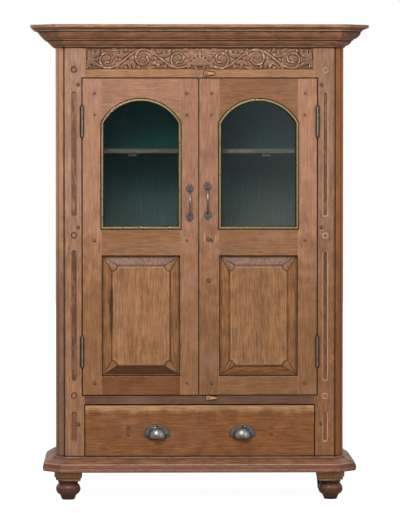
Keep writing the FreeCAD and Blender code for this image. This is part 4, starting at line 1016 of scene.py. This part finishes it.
def carve_half(relief, width, height, sizes):
    """A running scroll of stems, leaves and flowers from the middle to one end of the field."""
    top = sizes.relief / MILLIMETRE
    outer = sizes.scroll / MILLIMETRE
    stem = sizes.stem / MILLIMETRE
    leaf = sizes.leaf / MILLIMETRE
    flower = sizes.rosette / MILLIMETRE
    middle = height / 2
    first, last_margin = 70.0, 72.0
    pitch = (width - first - last_margin) / 2
    swing = height / 2 - stem - 1.0

    # The wave of the main stem passes under the first scroll, over the second and under the third.
    x = np.linspace(10.0, first + 2.55 * pitch, 420)
    wave = middle - swing * np.cos(np.pi * (x - first) / pitch)
    relief.stroke(np.stack([x, wave], 1), stem, 0.85 * top, groove=0.3 * top)

    for index in range(3):
        up = 1.0 if index % 2 == 0 else -1.0
        centre = np.array([first + index * pitch, middle])

        def at(angle, reach):
            """A point round this scroll; odd scrolls are upside down."""
            return centre + reach * outer * np.array([np.cos(angle), up * np.sin(angle)])

        points = spiral(centre, -0.45 * np.pi, 1.62 * np.pi, outer, 0.34 * outer)
        points[:, 1] = middle + up * (points[:, 1] - middle)
        share_along = np.linspace(0.0, 1.0, len(points))
        relief.stroke(points, stem * (1.0 - 0.35 * share_along), 0.85 * top)
        relief.rosette(at(1.72 * np.pi, 0.26), flower, top, 5 + index % 2)
        # Leaves on the outer side of the scroll, each laid along its turn.
        for turn, size in ((0.10, 0.95), (0.62, 1.0), (1.10, 1.1)):
            angle = turn * np.pi
            way = up * (angle + 0.28 * np.pi)
            relief.leaf(at(angle, 1.0), way, 0.85 * size * leaf, 0.24 * leaf, up, 0.9 * top)
        # Small leaves on the inner side of the scroll.
        for turn in (0.30, 0.85):
            angle = turn * np.pi
            way = up * (angle + 0.75 * np.pi)
            relief.leaf(at(angle, 0.72), way, 0.5 * leaf, 0.15 * leaf, up * 0.9, 0.8 * top)
        # Tall leaves that fork from the stem, in the corners between this scroll and the next.
        fork = centre + np.array([0.5 * pitch, 0.0])
        for side in (1.0, -1.0):
            base = np.array([fork[0] - side * up * 0.10 * pitch, middle + side * 0.08 * height])
            for turn, size in ((-0.95, 0.8), (-0.1, 1.0), (0.8, 0.85)):
                way = side * np.pi / 2 + turn
                relief.leaf(base, way, 0.98 * leaf * size, 0.21 * leaf, 0.5 * turn, 0.95 * top)
            relief.berry(base, 0.12 * leaf, top)

    # Middle: half of a palmette over two small volutes.
    foot = np.array([0.0, 0.22 * height])
    for turn, size in ((0.5, 1.65), (0.36, 1.5), (0.22, 1.3), (0.08, 1.1)):
        bend = -0.25 * (0.5 - turn) * np.pi
        relief.leaf(foot, turn * np.pi, 0.95 * leaf * size, 0.2 * leaf, bend, 0.95 * top)
    volute = spiral(np.array([11.0, 0.16 * height]), -0.5 * np.pi, 1.6 * np.pi, 8.0, 2.0, 90)
    relief.stroke(volute, np.linspace(2.6, 1.5, 90), 0.85 * top, groove=0.15 * top)
    relief.berry(foot, 4.6, top)

    # End: a tall spray against the end of the field.
    end = np.array([width - 8.0, middle])
    for turn, size in ((0.5, 1.1), (-0.5, 1.1), (0.74, 1.25), (-0.74, 1.25), (1.0, 1.0)):
        relief.leaf(end, turn * np.pi, leaf * size, 0.21 * leaf, 0.3 * np.sign(turn), 0.95 * top)
    relief.berry(end, 5.0, top)

    # Small sprigs fill what ground is left, the larger ones first.
    for size in (19.0, 15.0):
        for z in np.arange(0.55 * size, height - 0.5 * size, 2.0):
            for x in np.arange(0.6 * size, width - 0.5 * size, 2.0):
                if relief.is_free((x, z), 0.52 * size):
                    relief.trefoil((x, z), 0.37 * x + 0.61 * z, size, 0.8 * top)


def sunk_field():
    """Low and high corner of the sunk field of the frieze rail, at its ground."""
    deepest = 8.0 * MILLIMETRE
    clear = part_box("front_post_right")[0].x
    corners = [v.co for v in NODES["frieze_rail"].data.vertices]
    ground = [c for c in corners if MILLIMETRE < c.y - FRONT < deepest and abs(c.x) < clear]
    low = Vector([min(c[axis] for c in ground) for axis in range(3)])
    high = Vector([max(c[axis] for c in ground) for axis in range(3)])
    return low, high


def relief_mesh(name, low, high, rise):
    """A closed mesh: the carved front over the field, its four sides and a flat back sunk in the rail."""
    rows, columns = rise.shape
    xs = np.linspace(low.x, high.x, columns)
    zs = np.linspace(low.z, high.z, rows)
    x, z = np.meshgrid(xs, zs)
    front = np.stack([x, high.y - rise, z], -1).reshape(-1, 3)
    back_y = high.y + 0.5 * MILLIMETRE
    under = [(value, back_y, zs[0]) for value in xs]
    over = [(value, back_y, zs[-1]) for value in xs]
    verts = [*map(tuple, front), *under, *over]
    first_under = rows * columns
    first_over = first_under + columns
    last = (rows - 1) * columns
    faces = []
    for row in range(rows - 1):
        at = row * columns
        above = at + columns
        faces.extend((at + i, at + i + 1, above + i + 1, above + i) for i in range(columns - 1))
    for i in range(columns - 1):
        faces.append((i + 1, i, first_under + i, first_under + i + 1))
        faces.append((last + i, last + i + 1, first_over + i + 1, first_over + i))
        faces.append((first_under + i + 1, first_under + i, first_over + i, first_over + i + 1))
    left = [row * columns for row in range(rows)]
    right = [row * columns + columns - 1 for row in range(rows)]
    faces.append((*left, first_over, first_under))
    faces.append((*reversed(right), first_under + columns - 1, first_over + columns - 1))
    mesh = bpy.data.meshes.new(name)
    mesh.from_pydata(verts, [], faces)
    mesh.polygons.foreach_set("use_smooth", [True] * len(mesh.polygons))
    mesh.update()
    return mesh


def carved_wood(name):
    """Wood of the carving: darkened along the cut outlines by painted shade and soiling, with pale flecks on
    a few of the rubbed edges.
    """
    look = bpy.context.scene.cabinet_wood

    def with_shaded_outlines(graph, colour):
        place, (x, _, _) = object_place(graph)
        cut = graph.node("ShaderNodeAttribute", attribute_name=CUT).outputs["Fac"]
        ends = graph.spread(graph.absolute(x), 0.27, 0.36, 0.0, 0.4)
        colour = graph.mix(ends, colour, look.shade)
        # Painted shade and soiling in the crevices at the foot of the raised parts.
        colour = graph.mix(graph.spread(cut, 0.15, 1.0, 0.0, 0.9), colour, look.grime)
        rubbed = graph.noise(graph.vector("ADD", place, (2.0, 0.0, 1.0)), 70.0, 3.0, 0.6)
        bare = graph.times(graph.fade(cut, -1.0, -0.35), graph.spread(rubbed, 0.54, 0.64), 0.7)
        return graph.mix(bare, colour, look.chip)

    return recolour(wood(name, "X", look.carving, wear=0.0, dirt=0.2, upper=0.0, chips=0.0), with_shaded_outlines)


def softened(field, times):
    """A height field blurred a number of times."""
    for _ in range(times):
        wide = np.pad(field, 1, mode="edge")
        field = (wide[:-2, 1:-1] + wide[2:, 1:-1] + wide[1:-1, :-2] + wide[1:-1, 2:] + 4 * field) / 8
    return field


class CABINET_OT_carving(bpy.types.Operator):
    """Carved scrolls in the sunk field of the frieze"""

    bl_idname = "cabinet.carving"
    bl_label = "Frieze carving"

    def execute(self, context):
        sizes = context.scene.cabinet_carving
        low, high = sunk_field()
        half_width = high.x / MILLIMETRE
        height = (high.z - low.z) / MILLIMETRE
        relief = Relief(half_width, height, sizes.grid / MILLIMETRE)
        carve_half(relief, half_width, height, sizes)
        rise = softened(relief.rise, 1)
        chisel = np.random.default_rng(5).normal(0.0, 1.0, rise.shape)
        down, across, both = np.roll(chisel, 1, 0), np.roll(chisel, 1, 1), np.roll(chisel, (1, 1), (0, 1))
        chisel = (chisel + down + across + both) / 4
        rise = np.clip(rise + 0.25 + 0.10 * chisel * (rise < 0.3), 0.05, sizes.relief / MILLIMETRE + 0.2)
        whole = np.concatenate([rise[:, :0:-1], rise], axis=1)
        mesh = relief_mesh("frieze_carving", low, high, whole * MILLIMETRE)
        cut = np.zeros(len(mesh.vertices))
        cut[:whole.size] = (softened(whole, 24) - whole).ravel()
        mesh.attributes.new(CUT, "FLOAT", "POINT").data.foreach_set("value", cut)
        mesh.materials.append(carved_wood("carved_wood"))
        carving = bpy.data.objects.new("frieze_carving", mesh)
        context.scene.collection.objects.link(carving)
        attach(carving, "carcass")
        return {"FINISHED"}


# Pegs and screws


def stud_tree():
    """Geometry nodes that set a domed head, slotted if wished, on every point, facing as told."""
    tree = bpy.data.node_groups.new("cabinet_studs", "GeometryNodeTree")
    face = tree.interface
    face.new_socket("Geometry", in_out="INPUT", socket_type="NodeSocketGeometry")
    for name in ("Radius", "Rise", "Slot", "Seat", "Uneven"):
        face.new_socket(name, in_out="INPUT", socket_type="NodeSocketFloat")
    face.new_socket("Seed", in_out="INPUT", socket_type="NodeSocketInt")
    face.new_socket("Material", in_out="INPUT", socket_type="NodeSocketMaterial")
    face.new_socket("Geometry", in_out="OUTPUT", socket_type="NodeSocketGeometry")
    graph = Graph(tree)
    given = graph.node("NodeGroupInput").outputs

    grid = graph.node("GeometryNodeMeshGrid")
    graph.fill(grid, Size_X=2.0, Size_Y=2.0, Vertices_X=15, Vertices_Y=11)
    x, y, _ = graph.split(graph.node("GeometryNodeInputPosition").outputs[0])
    half_x = graph.times(x, x, 0.5)
    half_y = graph.times(y, y, 0.5)
    round_x = graph.times(x, graph.math("SQRT", graph.minus(1.0, half_y)))
    round_y = graph.times(y, graph.math("SQRT", graph.minus(1.0, half_x)))
    reach = graph.plus(graph.times(round_x, round_x), graph.times(round_y, round_y))
    dome = graph.times(graph.minus(1.0, reach), given["Rise"])
    cut = graph.times(graph.under(graph.absolute(x), 0.1), given["Slot"])
    spot = graph.node("ShaderNodeCombineXYZ")
    radius = given["Radius"]
    graph.in_order(spot, graph.times(round_x, radius), graph.times(round_y, radius), graph.minus(dome, cut))
    head = graph.node("GeometryNodeSetPosition")
    graph.fill(head, Geometry=grid.outputs[0], Position=spot.outputs[0])
    sunk = graph.node("GeometryNodeExtrudeMesh", mode="FACES")
    graph.fill(
        sunk, Mesh=head.outputs[0], Offset=(0.0, 0.0, -1.0), Offset_Scale=given["Seat"], Individual=False,
    )
    turned = graph.node("GeometryNodeFlipFaces")
    graph.put(turned.inputs[0], sunk.outputs[0])
    both = graph.node("GeometryNodeJoinGeometry")
    tree.links.new(turned.outputs[0], both.inputs[0])
    tree.links.new(head.outputs[0], both.inputs[0])
    closed = graph.node("GeometryNodeMergeByDistance")
    graph.fill(closed, Geometry=both.outputs[0], Distance=1e-6)

    facing = graph.node("GeometryNodeInputNamedAttribute", data_type="FLOAT_VECTOR")
    graph.fill(facing, Name="facing")
    aim = graph.node("FunctionNodeAlignRotationToVector", axis="Z")
    graph.put(aim.inputs["Vector"], facing.outputs[0])
    angle = graph.node("FunctionNodeRandomValue", data_type="FLOAT")
    graph.put(angle.inputs[2], 0.0)
    graph.put(angle.inputs[3], math.pi)
    graph.put(angle.inputs["Seed"], given["Seed"])
    twist = graph.node("FunctionNodeAxisAngleToRotation")
    graph.fill(twist, Axis=(0.0, 0.0, 1.0), Angle=angle.outputs[1])
    both_turns = graph.node("FunctionNodeRotateRotation", rotation_space="LOCAL")
    graph.in_order(both_turns, aim.outputs[0], twist.outputs[0])
    size = graph.node("FunctionNodeRandomValue", data_type="FLOAT")
    graph.put(size.inputs[2], graph.minus(1.0, given["Uneven"]))
    graph.put(size.inputs[3], graph.plus(1.0, given["Uneven"]))
    graph.put(size.inputs["Seed"], graph.plus(given["Seed"], 7.0))

    spread_out = graph.node("GeometryNodeInstanceOnPoints")
    graph.fill(
        spread_out, Points=given["Geometry"], Instance=closed.outputs[0], Rotation=both_turns.outputs[0],
        Scale=size.outputs[1],
    )
    real = graph.node("GeometryNodeRealizeInstances")
    graph.put(real.inputs[0], spread_out.outputs[0])
    painted = graph.node("GeometryNodeSetMaterial")
    graph.fill(painted, Geometry=real.outputs[0], Material=given["Material"])
    graph.put(graph.node("NodeGroupOutput").inputs[0], painted.outputs[0])
    return tree


def studs(name, body, slot, spots, **inputs):
    """One mesh of heads for a body. spots are (x, y, z, facing)."""
    points = bpy.data.meshes.new(name + "_points")
    points.from_pydata([spot[:3] for spot in spots], [], [])
    facing = points.attributes.new("facing", "FLOAT_VECTOR", "POINT")
    for entry, spot in zip(facing.data, spots):
        entry.vector = spot[3]
    holder = bpy.data.objects.new(name + "_points", points)
    bpy.context.scene.collection.objects.link(holder)
    modifier = holder.modifiers.new("studs", "NODES")
    tree = bpy.data.node_groups.get("cabinet_studs") or stud_tree()
    modifier.node_group = tree
    for item in tree.interface.items_tree:
        if item.in_out == "INPUT" and item.name in inputs:
            modifier[item.identifier] = inputs[item.name]
    made = bpy.data.meshes.new_from_object(holder.evaluated_get(bpy.context.evaluated_depsgraph_get()))
    bpy.data.objects.remove(holder)
    if not made.polygons:
        raise RuntimeError(f"no heads were made for {name}")
    made.name = name
    if "facing" in made.attributes:
        made.attributes.remove(made.attributes["facing"])
    shown = bpy.data.objects.new(name, made)
    bpy.context.scene.collection.objects.link(shown)
    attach(shown, body)


OUT_FRONT = (0.0, -1.0, 0.0)


def middle_of(node):
    """The middle of a CAD node's box."""
    low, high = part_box(node)
    return (low + high) / 2


def door_peg_spots(side):
    """Pegs where the rails of a door are tenoned into its stiles."""
    inward = 8.5 * MILLIMETRE
    spots = []
    for piece in ("hinge_stile", "meeting_stile"):
        x = middle_of(f"{side}_{piece}").x
        x += inward if x < middle_of(f"{side}_panel").x else -inward
        top_low, top_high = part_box(f"{side}_top_rail")
        heights = (
            top_high.z - 0.050, top_low.z + 0.027, middle_of(f"{side}_lock_rail").z + 0.004,
            middle_of(f"{side}_bottom_rail").z + 0.008,
        )
        spots += [(x, FRONT, z, OUT_FRONT) for z in heights]
    return spots


class CABINET_OT_pegs(bpy.types.Operator):
    """Pegs of the joints, and plugs in the holes of older fittings"""

    bl_idname = "cabinet.pegs"
    bl_label = "Pegs and plugs"

    def execute(self, context):
        sizes = context.scene.cabinet_fixings
        look = context.scene.cabinet_wood
        seat = 4.0 * MILLIMETRE
        heads = {
            "Radius": sizes.peg, "Rise": sizes.peg_rise, "Slot": 0.0, "Seat": seat, "Uneven": 0.25,
            "Material": wood("peg_wood", "Y", look.peg, bloom=0.0, shade=0.0, wear=0.5),
        }
        in_from_post_edge = 0.0215
        post_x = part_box("front_post_right")[0].x + in_from_post_edge
        drawer_z = middle_of("drawer_front").z
        levels = (DOOR_TOP - 0.024, middle_of("left_lock_rail").z + 0.049, drawer_z + 0.022)
        posts = [(sign * post_x, FRONT, z, OUT_FRONT) for sign in (-1, 1) for z in levels]
        studs("carcass_pegs", "carcass", "carcass_wood", posts, Seed=3, **heads)
        for number, side in enumerate(("left", "right")):
            spots = door_peg_spots(side)
            studs(f"{side}_door_pegs", f"{side}_door", "door_wood", spots, Seed=11 + number, **heads)
        handle_x, handle_rises = 0.240, (0.010, -0.013)
        plugs = [
            (sign * handle_x, FRONT, drawer_z + rise, OUT_FRONT) for sign in (-1, 1) for rise in handle_rises
        ]
        studs("drawer_plugs", "drawer", "drawer_wood", plugs, Seed=21, **heads)
        heads["Radius"] = sizes.plug
        lock_x, lock_levels = middle_of("right_meeting_stile").x - 0.002, (0.739, 0.877)
        lock = [(lock_x, FRONT, z, OUT_FRONT) for z in lock_levels]
        studs("right_door_plugs", "right_door", "door_wood", lock, Seed=31, **heads)
        return {"FINISHED"}


class CABINET_OT_screws(bpy.types.Operator):
    """Screws of the pulls and hinges"""

    bl_idname = "cabinet.screws"
    bl_label = "Screws"

    def execute(self, context):
        sizes = context.scene.cabinet_fixings
        look = context.scene.cabinet_metal
        steel = metal("screw_steel", look.steel, look.steel_dark, 0.42, grain=300.0)
        heads = {
            "Radius": sizes.screw, "Rise": sizes.screw_rise, "Slot": sizes.slot, "Seat": 1.5 * MILLIMETRE,
            "Uneven": 0.0, "Material": steel,
        }
        for number, side in enumerate(("left", "right")):
            low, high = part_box(f"{side}_pull")
            x = (low.x + high.x) / 2
            y = FRONT - 2.5 * MILLIMETRE
            inset = 9.5 * MILLIMETRE
            spots = [(x, y, z, OUT_FRONT) for z in (low.z + inset, high.z - inset)]
            studs(f"{side}_pull_screws", f"{side}_door", "pull_metal", spots, Seed=41 + number, **heads)
        low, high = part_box("cup_pulls")
        plate_half = 43.0 * MILLIMETRE
        y = FRONT - 2.0 * MILLIMETRE
        spots = []
        for x in (low.x + plate_half, high.x - plate_half):
            spots.append((x, y, high.z - 3.9 * MILLIMETRE, OUT_FRONT))
            for sign in (-1, 1):
                spots.append((x + sign * 37.0 * MILLIMETRE, y, low.z + 9.0 * MILLIMETRE, OUT_FRONT))
        studs("cup_pull_screws", "drawer", "pull_metal", spots, Seed=51, **heads)
        self.hinge_screws(heads, sizes)
        return {"FINISHED"}

    def hinge_screws(self, heads, sizes):
        """Three screws in each leaf, flush in its face."""
        heads = dict(heads, Rise=sizes.hinge_rise, Slot=0.5 * sizes.slot)
        leaf_middle = FRONT + 11.0 * MILLIMETRE
        frame_spots = []
        for number, (side, sign) in enumerate((("left", -1), ("right", 1))):
            low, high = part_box(f"{side}_hinge_leaves")
            axis_x = middle_of("hinge_pins").x + sign * (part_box("hinge_pins")[1].x - 3.6 * MILLIMETRE)
            half = 50.0 * MILLIMETRE
            step = 33.0 * MILLIMETRE
            ends = (low.z + half, high.z - half)
            levels = [level + shift for level in ends for shift in (-step, 0.0, step)]
            clear = 0.1 * MILLIMETRE
            door_x = axis_x - sign * clear
            frame_x = axis_x + sign * clear
            door_spots = [(door_x, leaf_middle, z, (sign, 0.0, 0.0)) for z in levels]
            frame_spots += [(frame_x, leaf_middle, z, (-sign, 0.0, 0.0)) for z in levels]
            name, body = f"{side}_hinge_screws", f"{side}_door"
            studs(name, body, "hinge_metal", door_spots, Seed=61 + number, **heads)
        studs("frame_hinge_screws", "carcass", "hinge_metal", frame_spots, Seed=71, **heads)


# Stage


def soft_light(name, place, target, size, power):
    """A large square light that looks at a point."""
    lamp = bpy.data.lights.new(name, "AREA")
    lamp.shape = "SQUARE"
    lamp.size = size
    lamp.energy = power
    shown = bpy.data.objects.new(name, lamp)
    shown.location = place
    shown.rotation_euler = (Vector(target) - Vector(place)).to_track_quat("-Z", "Y").to_euler()
    bpy.context.scene.collection.objects.link(shown)
    return shown


def white_room(strength):
    """White for the camera, soft light for the object, and a room to mirror that is dark in front."""
    world = bpy.data.worlds.new("white_room")
    world.use_nodes = True
    world.node_tree.nodes.clear()
    graph = Graph(world.node_tree)
    path = graph.node("ShaderNodeLightPath").outputs
    way = graph.node("ShaderNodeTexCoord").outputs["Generated"]
    front = graph.vector("DOT_PRODUCT", way, (0.0, -1.0, 0.12))
    beside = graph.spread(graph.vector("DOT_PRODUCT", way, (1.0, 0.0, 0.0)), 0.015, 0.06, 0.07, 0.55)
    mirrored = graph.mix(graph.spread(front, 0.72, 0.97), (0.8,) * 3, beside)
    through = path["Is Transmission Ray"]
    behind = graph.over(graph.vector("DOT_PRODUCT", way, (0.0, 1.0, 0.0)), 0.0)
    seen = graph.most(path["Is Camera Ray"], graph.times(through, behind))
    shiny = graph.node("ShaderNodeMix")
    graph.put(shiny.inputs[0], graph.most(path["Is Glossy Ray"], through))
    graph.put(shiny.inputs[2], strength)
    graph.put(shiny.inputs[3], mirrored)
    either = graph.node("ShaderNodeMix")
    graph.put(either.inputs[0], seen)
    graph.put(either.inputs[2], shiny.outputs[0])
    graph.put(either.inputs[3], 1.0)
    background = graph.node("ShaderNodeBackground")
    graph.fill(background, Color=(1.0, 1.0, 1.0), Strength=either.outputs[0])
    graph.in_order(graph.node("ShaderNodeOutputWorld"), background.outputs[0])
    bpy.context.scene.world = world


def white_floor(shadow):
    """A floor that stays white to the camera and keeps a share of the shadow near the cabinet."""
    made, graph, output = fresh_material("white_floor")
    place, _ = object_place(graph)
    fade = graph.spread(graph.vector("LENGTH", place), 0.9, 2.6, shadow, 0.0)
    plain = graph.node("ShaderNodeBsdfDiffuse")
    graph.fill(plain, Color=(0.86, 0.86, 0.86))
    bounce = graph.node("ShaderNodeBsdfDiffuse")
    graph.fill(bounce, Color=(0.58, 0.58, 0.58))
    glow = graph.node("ShaderNodeEmission")
    graph.fill(glow, Color=(1.0, 1.0, 1.0), Strength=1.5)
    shown = graph.shaders(fade, glow.outputs[0], plain.outputs[0])
    to_camera = graph.node("ShaderNodeLightPath").outputs["Is Camera Ray"]
    graph.put(output.inputs[0], graph.shaders(to_camera, bounce.outputs[0], shown))
    return made


class CABINET_OT_stage(bpy.types.Operator):
    """Floor, lights and camera"""

    bl_idname = "cabinet.stage"
    bl_label = "Stage"

    def execute(self, context):
        scene = context.scene
        look = scene.cabinet_stage
        reach = 11.0
        mesh = bpy.data.meshes.new("floor")
        corners = ((-1, -1), (1, -1), (1, 1), (-1, 1))
        mesh.from_pydata([(reach * x, reach * y, 0.0) for x, y in corners], [], [(0, 1, 2, 3)])
        mesh.materials.append(white_floor(look.shadow))
        floor = bpy.data.objects.new("floor", mesh)
        scene.collection.objects.link(floor)
        white_room(look.ambient)
        key = soft_light("key_light", (-0.8, -4.6, 3.7), (0.0, 0.0, 0.85), 2.4, look.key)
        fill = soft_light("fill_light", (3.4, -4.2, 2.4), (0.0, 0.0, 0.8), 2.6, look.fill)
        lens = bpy.data.cameras.new("camera")
        lens.lens = look.lens
        lens.sensor_width = 36.0
        lens.shift_x = 0.0411
        lens.shift_y = -0.09
        camera = bpy.data.objects.new("camera", lens)
        camera.location = (-0.25, -10.1485, 1.256)
        tilt, turn = 0.0282, 0.0180
        camera.rotation_euler = (math.pi / 2 - tilt, 0.0, -turn)
        scene.collection.objects.link(camera)
        scene.camera = camera
        scene.view_settings.view_transform = "Standard"
        return {"FINISHED"}


class CABINET_PT_panel(bpy.types.Panel):
    """Lists the steps and settings of the cabinet"""

    bl_idname = "CABINET_PT_panel"
    bl_label = "Glass display cabinet"
    bl_space_type = "VIEW_3D"
    bl_region_type = "UI"
    bl_category = "Cabinet"

    def draw(self, context):
        for operator in OPERATORS:
            self.layout.operator(operator.bl_idname)
        for name in GROUPS:
            box = self.layout.box()
            settings = getattr(context.scene, name)
            for key in settings.__annotations__:
                box.prop(settings, key)


GROUPS = {
    "cabinet_wood": CabinetWood,
    "cabinet_metal": CabinetMetal,
    "cabinet_carving": CabinetCarving,
    "cabinet_fixings": CabinetFixings,
    "cabinet_stage": CabinetStage,
}
OPERATORS = (
    CABINET_OT_stage,
    CABINET_OT_carcass,
    CABINET_OT_doors,
    CABINET_OT_drawer,
    CABINET_OT_buttons,
    CABINET_OT_glazing,
    CABINET_OT_hardware,
    CABINET_OT_carving,
    CABINET_OT_pegs,
    CABINET_OT_screws,
)
CLASSES = (*GROUPS.values(), *OPERATORS, CABINET_PT_panel)


def register():
    for kind in CLASSES:
        bpy.utils.register_class(kind)
    for name, kind in GROUPS.items():
        setattr(bpy.types.Scene, name, bpy.props.PointerProperty(type=kind))


def unregister():
    for name in GROUPS:
        delattr(bpy.types.Scene, name)
    for kind in reversed(CLASSES):
        bpy.utils.unregister_class(kind)


def main():
    """Builds everything in order."""
    register()
    for operator in OPERATORS:
        group, name = operator.bl_idname.split(".")
        getattr(getattr(bpy.ops, group), name)()


if __name__ == "__main__":
    main()
